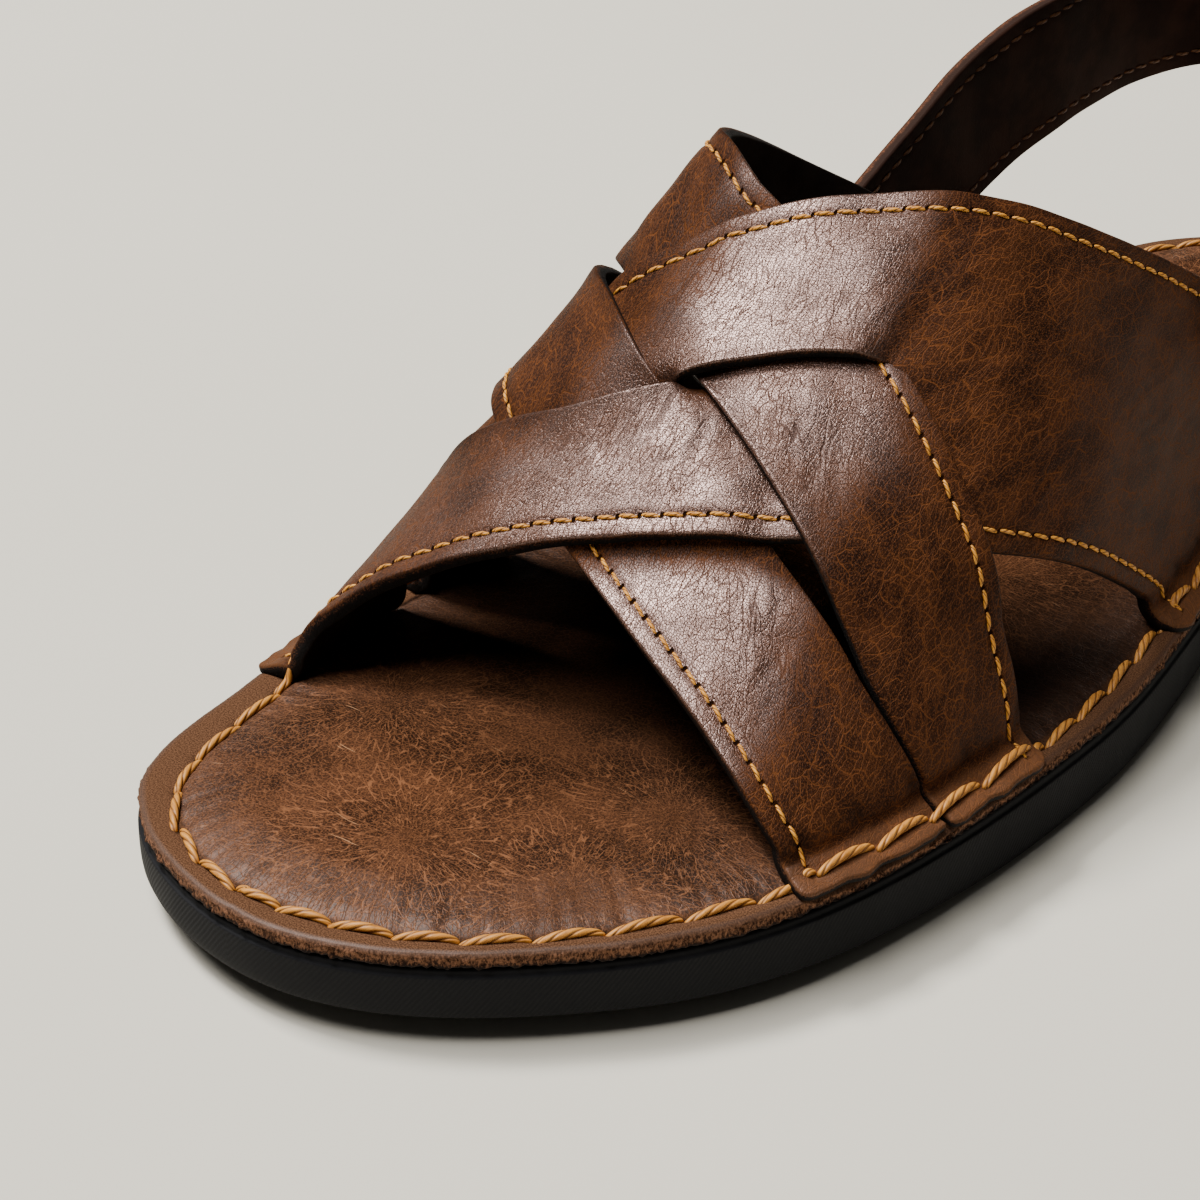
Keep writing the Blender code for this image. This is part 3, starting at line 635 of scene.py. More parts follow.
def footbed_leather():
    """Waxed footbed: crackle, star-like creases, cloudy dark patches, burnished rim, raw fibre at the edge, painted
    shade under the straps and at the foot of the raw edge.
    """
    f = Finish("footbed_leather_finish")
    place = f.place()
    flat = f.stretch(place, (1.0, 1.0, 0.0))
    raw, margin, pucker = f.mark("raw"), f.mark("margin"), f.mark("pucker")
    clouds = f.noise(flat, 13.0, 4.0, 0.62)
    pores = f.noise(flat, 0.34, 2.0, 0.6)
    crackle = f.cracks(f.warp(f.warp(flat, 8.0, 3.0), 1.4, 0.8), 1.25)
    spokes = f.cracks(f.warp(f.warp(f.mark("rays", vector=True), 1.4, 0.7), 0.30, 0.22), 0.44)
    pulls = f.noise(f.stretch(f.warp(f.mark("pull", vector=True), 5.0, 3.0), (1.1, 1.1, 0.10)), 1.0, 2.0, 0.5)
    pulls = f.off_middle(pulls)
    scratches = f.noise(f.stretch(f.warp(flat, 14.0, 6.0), (0.060, 2.2, 1.0)), 1.0, 1.0)
    calm = f.math("SUBTRACT", 1.0, margin)
    crackle_line = f.product(f.near(crackle, 0.070), calm)
    broken = f.span(f.noise(flat, 2.2, 2.0), 0.32, 0.54)
    spoke_line = f.product(f.near(spokes, 0.062), f.span(f.mark("star"), 0.08, 0.40), broken, calm)
    pull_line = f.product(f.near(pulls, 0.022), pucker)
    scratch = f.product(f.span(scratches, 0.76, 0.80), calm)
    colour = f.blend(f.span(clouds, 0.36, 0.64), (0.018, 0.0078, 0.0043), (0.082, 0.0328, 0.0152))
    colour = f.blend(f.product(f.span(pores, 0.50, 0.64), 0.60), colour, (0.182, 0.071, 0.0300))
    colour = f.blend(f.product(f.span(pores, 0.49, 0.36), 0.70), colour, (0.012, 0.006, 0.004))
    colour = f.blend(f.product(crackle_line, 0.42), colour, (0.220, 0.088, 0.0360))
    colour = f.blend(f.product(spoke_line, 0.72), colour, (0.280, 0.115, 0.0500))
    colour = f.blend(f.product(pull_line, 0.60), colour, (0.250, 0.104, 0.0420))
    colour = f.blend(f.product(scratch, 0.75), colour, (0.50, 0.27, 0.140))
    # Painted shade from the oval patches, mostly under the straps.
    colour = f.blend(f.mark("shade"), colour, (0.009, 0.0048, 0.0030))
    specks = f.span(f.noise(flat, 0.22, 3.0, 0.65), 0.36, 0.66)
    smooth = f.blend(specks, (0.044, 0.0205, 0.0110), (0.155, 0.0750, 0.0390))
    colour = f.blend(margin, colour, smooth)
    rim = f.mark("rim")
    colour = f.blend(f.product(rim, 0.4), colour, (0.026, 0.012, 0.008))
    lint = f.noise(f.stretch(place, (1.0, 1.0, 0.55)), 0.42, 3.0, 0.72)
    fibre = f.blend(f.span(lint, 0.38, 0.62), (0.030, 0.012, 0.006), (0.23, 0.105, 0.055))
    # The raw edge is painted near black towards its foot: painted shade on its lower part, just above the rubber.
    height = f.add("SeparateXYZ", {0: place}).outputs[2]
    ragged = f.math("ADD", height, f.product(f.math("SUBTRACT", lint, 0.5), 1.6))
    fibre = f.blend(f.span(ragged, 12.6, 13.5, 1.0, 0.0), fibre, (0.010, 0.006, 0.005))
    colour = f.blend(raw, colour, fibre)
    # Seam holes painted near black: painted shade inside the holes.
    colour = f.blend(f.mark("hole"), colour, (0.004, 0.0025, 0.002))
    relief = f.relief((pores, 0.032), (crackle_line, -0.030), (spoke_line, -0.035), (pull_line, 0.07),
                      (scratch, 0.03), (f.product(lint, raw), 0.38))
    rough = f.math("ADD", f.span(clouds, 0.3, 0.7, 0.46, 0.54), f.product(raw, 0.3))
    wax = f.math("ADD", f.product(rim, 0.45), f.product(pucker, 0.40), clamp=True)
    return f.set(Base_Color=colour, Roughness=rough, Normal=relief, Specular_IOR_Level=wax,
                 Specular_Tint=(1.0, 0.80, 0.73, 1.0))


def sole_rubber():
    """Black rubber: fine slanting ribs round the side, specks of dust, a plain tread."""
    f = Finish("rubber_finish")
    place = f.place()
    run = f.add("UVMap", uv_map="run").outputs[0]
    axes = f.add("SeparateXYZ", {0: run}).outputs
    slant = f.math("ADD", axes[0], f.product(axes[1], RIB_LEAN))
    wobble = f.product(f.noise(place, 6.0, 2.0), 0.6)
    ribs = f.math("SINE", f.product(f.math("ADD", slant, wobble), 2 * np.pi / RIB_PITCH))
    side = f.span(axes[1], 10.4, 10.6, 1.0, 0.0)
    dust = f.noise(place, 0.30, 3.0, 0.7)
    broad = f.noise(place, 16.0, 3.0, 0.6)
    ribs_height = f.product(f.math("ADD", f.product(ribs, 0.5), 0.5), side)
    colour = f.blend(f.span(broad, 0.35, 0.7), (0.0088, 0.0088, 0.0102), (0.0108, 0.0108, 0.0122))
    colour = f.blend(f.product(ribs_height, 0.35), colour, (0.0180, 0.0180, 0.0192))
    colour = f.blend(f.product(f.span(dust, 0.70, 0.80), 0.5), colour, (0.05, 0.048, 0.046))
    return f.set(Base_Color=colour, Roughness=f.span(broad, 0.3, 0.7, 0.66, 0.76),
                 Normal=f.relief((dust, 0.05), (ribs_height, 0.05)), Specular_IOR_Level=0.10)


def cord_finish(name, shade, golden, pale, fibre_count):
    """Waxed twisted cord: fibres that follow the twist, darker worn patches, painted shade between the plies."""
    f = Finish(name)
    wind = f.mark("wind", vector=True)
    ply = f.math("ABSOLUTE", f.math("COSINE", f.product(f.add("SeparateXYZ", {0: wind}).outputs[0], np.pi)))
    fibres = f.noise(f.stretch(wind, (fibre_count, 0.35, 1.0)), 1.0, 3.0, 0.6)
    worn = f.noise(f.place(), 1.4, 3.0, 0.6)
    colour = f.blend(f.span(fibres, 0.30, 0.70), golden, pale)
    colour = f.blend(f.product(f.span(worn, 0.5, 0.72), 0.4), colour, shade)
    # Painted shade in the grooves between the plies.
    colour = f.blend(f.near(ply, 0.55), colour, shade)
    return f.set(Base_Color=colour, Roughness=0.5, Normal=f.relief((fibres, 0.05), (f.span(ply, 0.0, 0.8), 0.10)),
                 Specular_IOR_Level=0.4)


def floor_finish():
    """Pale warm grey floor with faint clouds."""
    f = Finish("floor_finish")
    place = f.place()
    clouds = f.noise(place, 180.0, 3.0, 0.5)
    colour = f.blend(f.span(clouds, 0.3, 0.7), (0.675, 0.640, 0.548), (0.690, 0.655, 0.563))
    return f.set(Base_Color=colour, Roughness=0.9, Specular_IOR_Level=0.1)


def rim_stations(half):
    """Runs of paired stations: half of them down the inner side, half back up the outer side."""
    inner = np.linspace(0.0, HEEL_RUN, half, endpoint=False)
    outer = np.linspace(HEEL_RUN, RIM_LENGTH, half, endpoint=False)
    return np.concatenate([inner, outer])


def spine_points(half, first, last, inset):
    """Middle line of the sole from y first to y last, one point for each pair of stations and one at either end."""
    y = np.linspace(first, last, half + 1)
    branches = [side_branch(side, inset)[0] for side in (-1, 1)]
    inner, outer = [np.interp(y, branch[:, 1], branch[:, 0]) for branch in branches]
    return np.stack([(inner + outer) / 2, y], -1)


def spine_rows(half, first):
    """Point numbers of the spine as a ring: down the inner side and back up the outer side."""
    return np.concatenate([np.arange(0, half), np.arange(half, 0, -1)]) + first


def make_outsole(rubber):
    """Rubber sole: the stepped side profile carried round the outline, a flat top and a curved tread."""
    half = 420
    run = rim_stations(half)
    share, inset = np.array(OUTSOLE_SIDE).T
    rim = rim_at(run, 0.0)
    tread = table_line(TREAD, rim[:, 1])
    rings = []
    for s, i in zip(share, inset):
        height = tread + s * (OUTSOLE_TOP - tread)
        rings.append(np.column_stack([rim_at(run, i), height]))
    steps = np.linspace(0.0, 1.0, 9)[1:-1]
    spine = spine_points(half, 45.0, 250.0, 15.0)
    ring_spine = spine[spine_rows(half, 0)]
    for base, top in ((rings[0], False), (rings[-1], True)):
        for step in steps:
            plan = base[:, :2] * (1 - step) + ring_spine * step
            height = np.full(len(run), OUTSOLE_TOP) if top else table_line(TREAD, plan[:, 1])
            rings.append(np.column_stack([plan, height]))
    count, size, fill = len(OUTSOLE_SIDE), len(run), len(steps)
    index = np.arange(len(rings) * size).reshape(-1, size)
    under_spine = len(rings) * size
    over_spine = under_spine + half + 1
    under = np.vstack([spine_rows(half, under_spine), index[count:count + fill][::-1], index[:1]])
    over = np.vstack([index[count - 1:count], index[count + fill:], spine_rows(half, over_spine)])
    quads = np.concatenate([ring_quads(under), ring_quads(index[:count]), ring_quads(over)])
    points = np.concatenate([
        np.concatenate(rings),
        np.column_stack([spine, table_line(TREAD, spine[:, 1])]),
        np.column_stack([spine, np.full(len(spine), OUTSOLE_TOP)]),
    ])
    lap = np.append(run, RIM_LENGTH)
    heights = np.concatenate([
        np.zeros(fill + 1), share * OUTSOLE_TOP, np.full(fill + 1, OUTSOLE_TOP)])
    u, v = np.broadcast_arrays(lap[None, :], heights[:, None])
    uv = np.stack([u, v], -1)
    piece = make_mesh("rubber_outsole", points, quads, 0, [rubber], corner_uv=cells_of(uv).reshape(-1, 4, 2))
    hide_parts("outsole")


def flange_share(run):
    """1 where a strap is sewn down at a run round the rim, 0 elsewhere, with a short slope at each end."""
    y = rim_at(run, 4.0)[..., 1]
    inner = np.mod(run, RIM_LENGTH) < HEEL_RUN
    share = np.zeros(np.shape(run))
    for side, band in ((-1, OUTER_BAND), (1, INNER_BAND), (1, OUTER_BAND), (-1, INNER_BAND)):
        front, _, _, rear = [line[0] for line in band_lines(band, np.array([float(side)]))]
        here = smooth_step((y - front + 0.4) / 0.9) * smooth_step((rear - y + 0.4) / 0.9)
        share = np.maximum(share, here * (inner == (side < 0)))
    return share


def footbed_inset(run, base):
    """Inset of a ring whose place in the plain section is base: the seam's line carries its neighbours with it."""
    shift = seam_inset(run) - SEAM_BASE
    before = np.clip((base - 1.0) / (SEAM_BASE - 1.0), 0.0, 1.0)
    after = np.exp(-np.clip(base - SEAM_BASE, 0.0, None) / 5.0)
    return base + shift * before * after


def footbed_height(run, base, start):
    """Top of the footbed: flat margin pressed down under the straps' ends, seam groove with a dip at each hole,
    then the padding's S."""
    inset = footbed_inset(run, base)
    pad = PAD_RISE * smooth_step((inset - np.maximum(start, seam_inset(run) + 1.4)) / PAD_RUN)
    swell = PAD_SWELL * smooth_step((base - SEAM_BASE - 0.3) / 3.0)
    groove = SEAM_GROOVE * hump((base - SEAM_BASE) / 0.80)
    dip = 0.35 * hump(near_hole(run) / 1.1) * hump((base - SEAM_BASE) / 1.2)
    press = 0.50 * flange_share(run) * smooth_step((3.6 - base) / 2.6)
    return INSOLE_TOP + pad + swell - groove - dip - press


def footbed_puckers(run, base):
    """Pull wrinkles from the seam inwards: narrow troughs at seeded places, each dying away over its own length."""
    rng = np.random.default_rng(7)
    count = 620
    place = rng.uniform(0.0, RIM_LENGTH, count)
    width = rng.uniform(0.45, 0.95, count)
    length = rng.uniform(4.0, 11.0, count)
    depth = rng.uniform(0.05, 0.17, count)
    gap = np.abs(run[:, None] - place[None, :])
    gap = np.minimum(gap, RIM_LENGTH - gap)
    across = hump(gap / width) * depth
    reach = base[:, None] - SEAM_BASE - 0.6
    inwards = smooth_step(reach / 1.2) * np.exp(-np.clip(reach, 0, None) / length)
    return -across @ inwards.T


def make_footbed(leather):
    """Leather footbed: its edge section carried round the outline, then rings over the padding to a spine."""
    half = 500
    run = rim_stations(half)
    size = len(run)
    edge = np.array(FOOTBED_EDGE)
    seam = np.concatenate([np.arange(3.9, 6.2, 0.2), np.arange(6.5, 15.6, 0.35)])
    rim = rim_at(run, 0.0)
    start = table_line(PAD_START, rim[:, 1])
    frayed = 0.12 * ripple(1, 1.3, run) + 0.09 * ripple(2, 0.7, run) + 0.10 * ripple(3, 6.0, run)
    rings, raw = [], []
    for number, (base, height, fibre) in enumerate(edge):
        fray = fibre * frayed * np.cos(number) + 0.06 * ripple(4, 14.0, run)
        sag = fibre * (0.07 * ripple(5 + number, 0.9, run) + (0.12 * ripple(30, 1.1, run) if height < 12.8 else 0.0))
        z = footbed_height(run, base, start) - INSOLE_TOP + height + sag
        z = np.where(height < 13.0, height + sag, z)
        rings.append(np.column_stack([rim_at(run, footbed_inset(run, base) + fray), np.maximum(z, 12.06)]))
        raw.append(np.full(size, fibre))
    puckers = footbed_puckers(run, seam)
    for column, base in enumerate(seam):
        z = footbed_height(run, base, start) + puckers[:, column]
        rings.append(np.column_stack([rim_at(run, footbed_inset(run, base)), z]))
        raw.append(np.zeros(size))
    spine = spine_points(half, 52.0, 243.0, 15.0)
    ring_spine = spine[spine_rows(half, 0)]
    steps = np.linspace(0.0, 1.0, 34)[1:-1]
    last = rings[-1]
    crown = INSOLE_TOP + PAD_RISE + PAD_SWELL
    for step in steps:
        plan = last[:, :2] * (1 - step) + ring_spine * step
        level = last[:, 2] + (crown - last[:, 2]) * smooth_step(step * 2.5)
        rings.append(np.column_stack([plan, level]))
        raw.append(np.zeros(size))
    points = np.concatenate([np.concatenate(rings), np.column_stack([spine, np.full(half + 1, crown)]),
                             np.column_stack([spine, np.full(half + 1, INSOLE_UNDER)])])
    base_of = np.concatenate([edge[:, 0], seam, seam[-1] + steps * 25.0])
    waves = 0.22 * ripple(11, 34.0, points[:, 0], points[:, 1]) + 0.05 * ripple(12, 9.0, points[:, 0], points[:, 1])
    padded = np.repeat(smooth_step((base_of - 6.0) / 8.0), size)
    soft = np.concatenate([padded, np.ones(half + 1), np.zeros(half + 1)])
    points[:, 2] += waves * soft
    index = np.arange(len(rings) * size).reshape(-1, size)
    top_spine, low_spine = len(rings) * size, len(rings) * size + half + 1
    quads = ring_quads(np.vstack([spine_rows(half, low_spine), index, spine_rows(half, top_spine)]))
    ends = np.zeros(2 * (half + 1))
    depth = np.repeat(base_of, size)
    laps = np.tile(run, len(rings))
    hole = hump(near_hole(laps) / 0.75) * hump((depth - SEAM_BASE) / 0.6)
    pucker = smooth_step((depth - 5.2) / 1.0) * np.exp(-np.clip(depth - 6.0, 0, None) / 6.0)
    rays, star = star_rays(points[:, :2])
    lap_radius = RIM_LENGTH / (2 * np.pi)
    pull = [lap_radius * np.cos(laps / lap_radius), lap_radius * np.sin(laps / lap_radius), depth]
    marks = {
        "raw": np.concatenate([np.concatenate(raw), ends]),
        "margin": np.concatenate([1 - smooth_step((depth - 4.6) / 1.4), ends]),
        "rim": np.concatenate([hump((depth - 0.75) / 0.35), ends]),
        "hole": np.concatenate([np.clip(hole, 0, 1), ends]),
        "pucker": np.concatenate([pucker, ends]),
        "pull": np.concatenate([np.stack(pull, -1), np.zeros((len(ends), 3))]),
        "rays": rays,
        "star": star,
        "shade": footbed_shade(points[:, :2]),
    }
    piece = make_mesh("footbed", points, quads, 0, [leather], marks)
    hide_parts("insole")


# Places where the footbed's crackle spreads like a star: x, y, reach.
STARS = (
    (26.0, 30.5, 24.0), (2.0, 24.5, 24.0), (-24.0, 48.0, 20.0), (26.0, 52.0, 20.0), (0.0, 120.0, 30.0),
    (22.0, 132.0, 22.0), (-18.0, 170.0, 26.0), (8.0, 205.0, 26.0), (-8.0, 245.0, 28.0),
)


# Painted shade on the footbed, mostly under the straps: x, y, half width, half length, strength.
SHADE_PATCHES = ((43.0, 120.0, 24.0, 38.0, 0.88), (0.0, 80.0, 64.0, 35.0, 0.85), (30.0, 26.0, 12.0, 16.0, 0.30))


def footbed_shade(plan):
    """How dark the footbed is painted: soft oval patches of painted shade, mostly under the straps."""
    shade = np.zeros(len(plan))
    for x, y, wide, long, strength in SHADE_PATCHES:
        shade = np.maximum(shade, strength * hump(np.hypot((plan[:, 0] - x) / wide, (plan[:, 1] - y) / long)))
    return shade


def star_rays(plan):
    """Direction from the strongest star at each plan point, with its distance, and how strong that star is there.

    The direction goes round a circle, so that lines drawn from it leave the star like spokes.
    """
    stars = np.array(STARS)
    away = plan[:, None, :] - stars[None, :, :2]
    reach = np.linalg.norm(away, axis=-1)
    strength = np.exp(-reach / stars[:, 2] * 1.6)
    best = np.argmax(strength, 1)
    row = np.arange(len(plan))
    spoke = away[row, best] / np.maximum(reach[row, best], 1e-6)[:, None]
    rays = np.column_stack([spoke * 5.0, reach[row, best] * 0.10 + best * 3.0])
    return rays, strength[row, best]


def strap_columns(band, turn):
    """y of each column of a band at each turn, and half the width of its slit.

    Near every edge the columns keep fixed distances square to it; between them they are spaced evenly.
    """
    front, slit, width, rear = band_lines(band, turn)
    half = np.maximum(width, 0.3) / 2
    rates = [across_rate(band, column, turn) for column in (0, 1, 3)]
    middle = np.linspace(0.0, 1.0, STRIP_MIDDLE + 2)[1:-1]
    columns = []
    for low, high, low_rate, high_rate in ((front, slit - half, rates[0], rates[1]),
                                           (slit + half, rear, rates[1], rates[2])):
        ahead = low[..., None] + EDGE_STEPS / low_rate[..., None]
        behind = high[..., None] - EDGE_STEPS[::-1] / high_rate[..., None]
        between = ahead[..., -1:] * (1 - middle) + behind[..., :1] * middle
        columns += [ahead, between, behind]
    return np.concatenate(columns, -1), half


def band_place(band, turn, along):
    """Distances in mm of points on the wall from a band's front edge, slit and rear edge, positive inside it."""
    front, slit, _, rear = band_lines(band, turn)
    rates = [across_rate(band, column, turn) for column in (0, 1, 3)]
    return (along - front) * rates[0], (along - slit) * rates[1], (rear - along) * rates[2]


def weave_level(own, other, open_share, sign):
    """Height of a strip over the wall's middle where bands cross.

    own and other are the distances from the two bands' lines. Away from both slits a strip lies half a
    thickness up or down. Beside its own slit it curls twice as far, so that it clears the strip that is
    passing through, and beside the other band's slit it crosses the middle.
    """
    own_side = np.sin(np.pi / 2 * np.clip(own[1] / WEAVE_REACH, -1, 1))
    other_side = np.sin(np.pi / 2 * np.clip(other[1] / WEAVE_REACH, -1, 1))
    near_own, near_other = np.abs(own_side), np.abs(other_side)
    clear = np.maximum(1 - (1 - near_own) * (1 - near_other), 0.2)
    beyond = np.maximum(-np.minimum(other[0], other[2]), 0.0)
    fade = 1 - smooth_step(beyond / WEAVE_FADE)
    step = (STRAP_THICKNESS + WEAVE_GAP) / 2
    return sign * step * np.sign(own[1]) * other_side * (2 - near_own) / clear * fade * open_share


# Creases of the straps: run from the inner base, distance from the front edge, half length, turn in
# degrees from straight across, depth, half width.
OUTER_CREASES = (
    (70.0, 12.0, 9.0, 12.0, 0.09, 0.9), (73.0, 15.0, 9.0, 18.0, 0.10, 0.9), (76.0, 18.0, 8.0, 22.0, 0.09, 0.9),
    (64.0, 20.0, 9.0, 8.0, 0.08, 0.9), (58.0, 15.0, 8.0, 15.0, 0.07, 0.9), (133.0, 10.0, 8.0, -10.0, 0.08, 1.0),
    (140.0, 30.0, 12.0, -6.0, 0.08, 1.0), (148.0, 26.0, 11.0, -12.0, 0.08, 1.0), (156.0, 34.0, 12.0, 4.0, 0.08, 1.0),
    (52.0, 36.0, 7.0, 6.0, 0.08, 0.9), (84.0, 36.0, 9.0, 10.0, 0.07, 0.9), (90.0, 34.0, 9.0, 4.0, 0.07, 0.9),
)
INNER_CREASES = (
    (140.0, 14.0, 9.0, 48.0, 0.08, 0.9), (143.0, 15.0, 12.0, 45.0, 0.10, 0.9), (146.0, 15.0, 14.0, 45.0, 0.13, 0.9),
    (149.0, 14.0, 14.0, 43.0, 0.13, 0.9), (152.0, 13.0, 12.0, 42.0, 0.10, 0.9), (156.0, 15.0, 9.0, 36.0, 0.08, 0.9),
    (129.0, 35.0, 8.0, 40.0, 0.09, 0.9), (132.0, 35.0, 10.0, 42.0, 0.12, 0.9), (135.0, 34.0, 10.0, 40.0, 0.12, 0.9),
    (138.0, 35.0, 9.0, 38.0, 0.09, 0.9), (170.0, 34.0, 8.0, 6.0, 0.07, 1.0), (176.0, 32.0, 7.0, 4.0, 0.07, 1.0),
)


def crease_frame(crease, run, across):
    """Distances of points square to a crease and along it from its middle: the plan turned by its angle."""
    along, from_front, _, degrees, _, _ = crease
    angle = np.radians(degrees)
    a = (run - along) * np.cos(angle) + (across - from_front) * np.sin(angle)
    b = -(run - along) * np.sin(angle) + (across - from_front) * np.cos(angle)
    return a, b


def crease_relief(creases, run, across):
    """Soft troughs with low ridges on both sides, fading towards their ends."""
    total = np.zeros_like(run)
    for crease in creases:
        along, _, half, _, depth, width = crease
        a, b = crease_frame(crease, run, across)
        a = a + 0.5 * np.sin(b * 0.7 + along)
        body = hump(a / width) - 0.5 * hump((np.abs(a) - 2.0 * width) / width)
        total -= depth * body * (1 - smooth_step(np.abs(b) / half))
    return total


# Places given more or less gloss, which moves the highlight and the painted dark wrinkle lines with it:
# run, distance from the front edge, half run, half width, share.
OUTER_GLOSS_SPOTS = ((40.0, 10.0, 28.0, 15.0, 0.34), (57.0, 40.0, 13.0, 16.0, -0.30), (97.0, 36.0, 12.0, 16.0, -0.25))
INNER_GLOSS_SPOTS = ((128.0, 32.0, 15.0, 10.0, -0.40), (136.0, 43.0, 10.0, 10.0, 0.52), (146.0, 12.0, 16.0, 16.0, -0.12),
              (158.0, 14.0, 10.0, 14.0, 0.18))


def gloss_spot_share(gloss_spots, run, across):
    """Gloss added or taken away in soft ovals."""
    total = np.zeros_like(run)
    for along, from_front, long, wide, share in gloss_spots:
        total += share * hump(np.hypot((run - along) / long, (across - from_front) / wide))
    return total


def creased_share(creases, run, across):
    """1 among the creases, falling to 0 within a few millimetres of them."""
    total = np.zeros_like(run)
    for crease in creases:
        a, b = crease_frame(crease, run, across)
        total = np.maximum(total, hump(a / 5.0) * (1 - smooth_step(np.abs(b) / (crease[2] + 3.0))))
    return total


def base_outward(side, along):
    """Outward plan direction at the foot of the straps."""
    small = 1.0
    slope = (arch_base(side, along + small) - arch_base(side, along - small)) / (2 * small)
    return unit(np.stack([np.full_like(slope, side), -side * slope, np.zeros_like(slope)], -1))


FLANGE_STEPS = np.array([0.0, 0.1, 0.25, 0.45, 0.75, 1.1, 1.5, 1.9, 2.3, 2.7, 3.1])
BEND_STEPS = 11


def flange_half(inset):
    """Half the thickness of a strap's sewn end, skived towards its tip."""
    return 0.72 + 0.48 * smooth_step((inset - 1.0) / 3.6)


def flange_middle(side, inset):
    """Height of the middle of the sewn end at an inset, beyond its bend."""
    stop = np.pi / 2 - FLANGE_SLOPE
    bend_inset = ARCH_INSET - FLANGE_FLARE[side] - FLANGE_RADIUS * (1 - np.cos(stop))
    return FLANGE_FOOT - FLANGE_RADIUS * np.sin(stop) - (bend_inset - inset) / np.tan(stop)


def flange_rows(side, along, edge, slit_edge):
    """Stitch-down end of a band from its tip to the foot of the wall: points, normals, distance from the tip, inset.

    The wall turns outwards along an arc and runs down over the footbed's rim. Its tip is rounded at the
    corners, waves in at every seam hole and is pressed down there.
    """
    run = arch_run(side, along)
    pinch = hump(near_hole(run) / 1.7)
    corner = np.maximum(corner_drop(edge, 1.8), corner_drop(slit_edge, 0.6))
    tip = FLANGE_TIP_INSET + corner + 0.40 * pinch + 0.16 * ripple(40 + side, 6.0, along)
    stop = np.pi / 2 - FLANGE_SLOPE
    out = base_outward(side, along)
    up = np.array([0.0, 0.0, 1.0])
    flare = FLANGE_FLARE[side]
    foot = np.stack([arch_base(side, along), along, np.full_like(along, FLANGE_FOOT)], -1) + flare * out
    hub = foot + FLANGE_RADIUS * out
    angle = stop * np.arange(BEND_STEPS, 0, -1) / BEND_STEPS
    normals = np.cos(angle)[:, None, None] * out + np.sin(angle)[:, None, None] * up
    bend = hub - FLANGE_RADIUS * normals
    onwards = np.sin(stop) * out - np.cos(stop) * up
    flat = (ARCH_INSET - flare - tip - FLANGE_RADIUS * (1 - np.cos(stop))) / np.sin(stop)
    share = FLANGE_STEPS / FLANGE_STEPS[-1] * 0.88
    plate = bend[0] + ((1 - share[:, None]) * flat)[..., None] * onwards
    points = np.concatenate([plate, bend])
    normals = np.concatenate([np.broadcast_to(normals[0], plate.shape), normals])
    distance = np.concatenate([share[:, None] * flat, flat + FLANGE_RADIUS * (stop - angle)[:, None]])
    inset = tip + distance * np.sin(stop)
    seam = seam_inset(run)
    press = -0.40 * pinch * hump((inset - seam) / 1.8) - 0.25 * hump((inset - seam) / 0.8)
    droop = -0.30 * pinch * (1 - smooth_step(distance / 2.0))
    points = points + (press * smooth_step(distance / 0.8) + droop)[..., None] * normals
    return points, normals, distance, inset


def thread_groove(edge):
    """Depth of the groove under the thread at a distance from a strap's edge: a bell about the thread's line."""
    return 0.26 * hump((edge - THREAD_MARGIN) / 0.62)


def make_sheet(name, top, bottom, cells, finishes, vectors, values):
    """A strap from its two faces, with walls where its cells end. The marks are the same on both faces."""
    index = np.arange(top[..., 0].size).reshape(top.shape[:2])
    quads, zones = sheet_quads(index, index + index.size, cells)
    marks = {mark: np.tile(vector.reshape(-1, 3), (2, 1)) for mark, vector in vectors.items()}
    marks["depth"] = np.repeat([0.0, 1.0], index.size)
    marks.update({mark: np.tile(np.ravel(value), 2) for mark, value in values.items()})
    points = np.concatenate([top.reshape(-1, 3), bottom.reshape(-1, 3)])
    return make_mesh(name, points, quads, zones, finishes, marks)


def crown_gloss(normals):
    """How glossy a strap is: most where it faces upwards and forwards, at its crown, where the crown light's
    highlight falls.
    """
    tilt = np.abs(normals[..., 0] - CROWN_TILT)
    return (1 - smooth_step((tilt - 0.08) / 0.28)) * smooth_step((normals @ CROWN - 0.86) / 0.08)


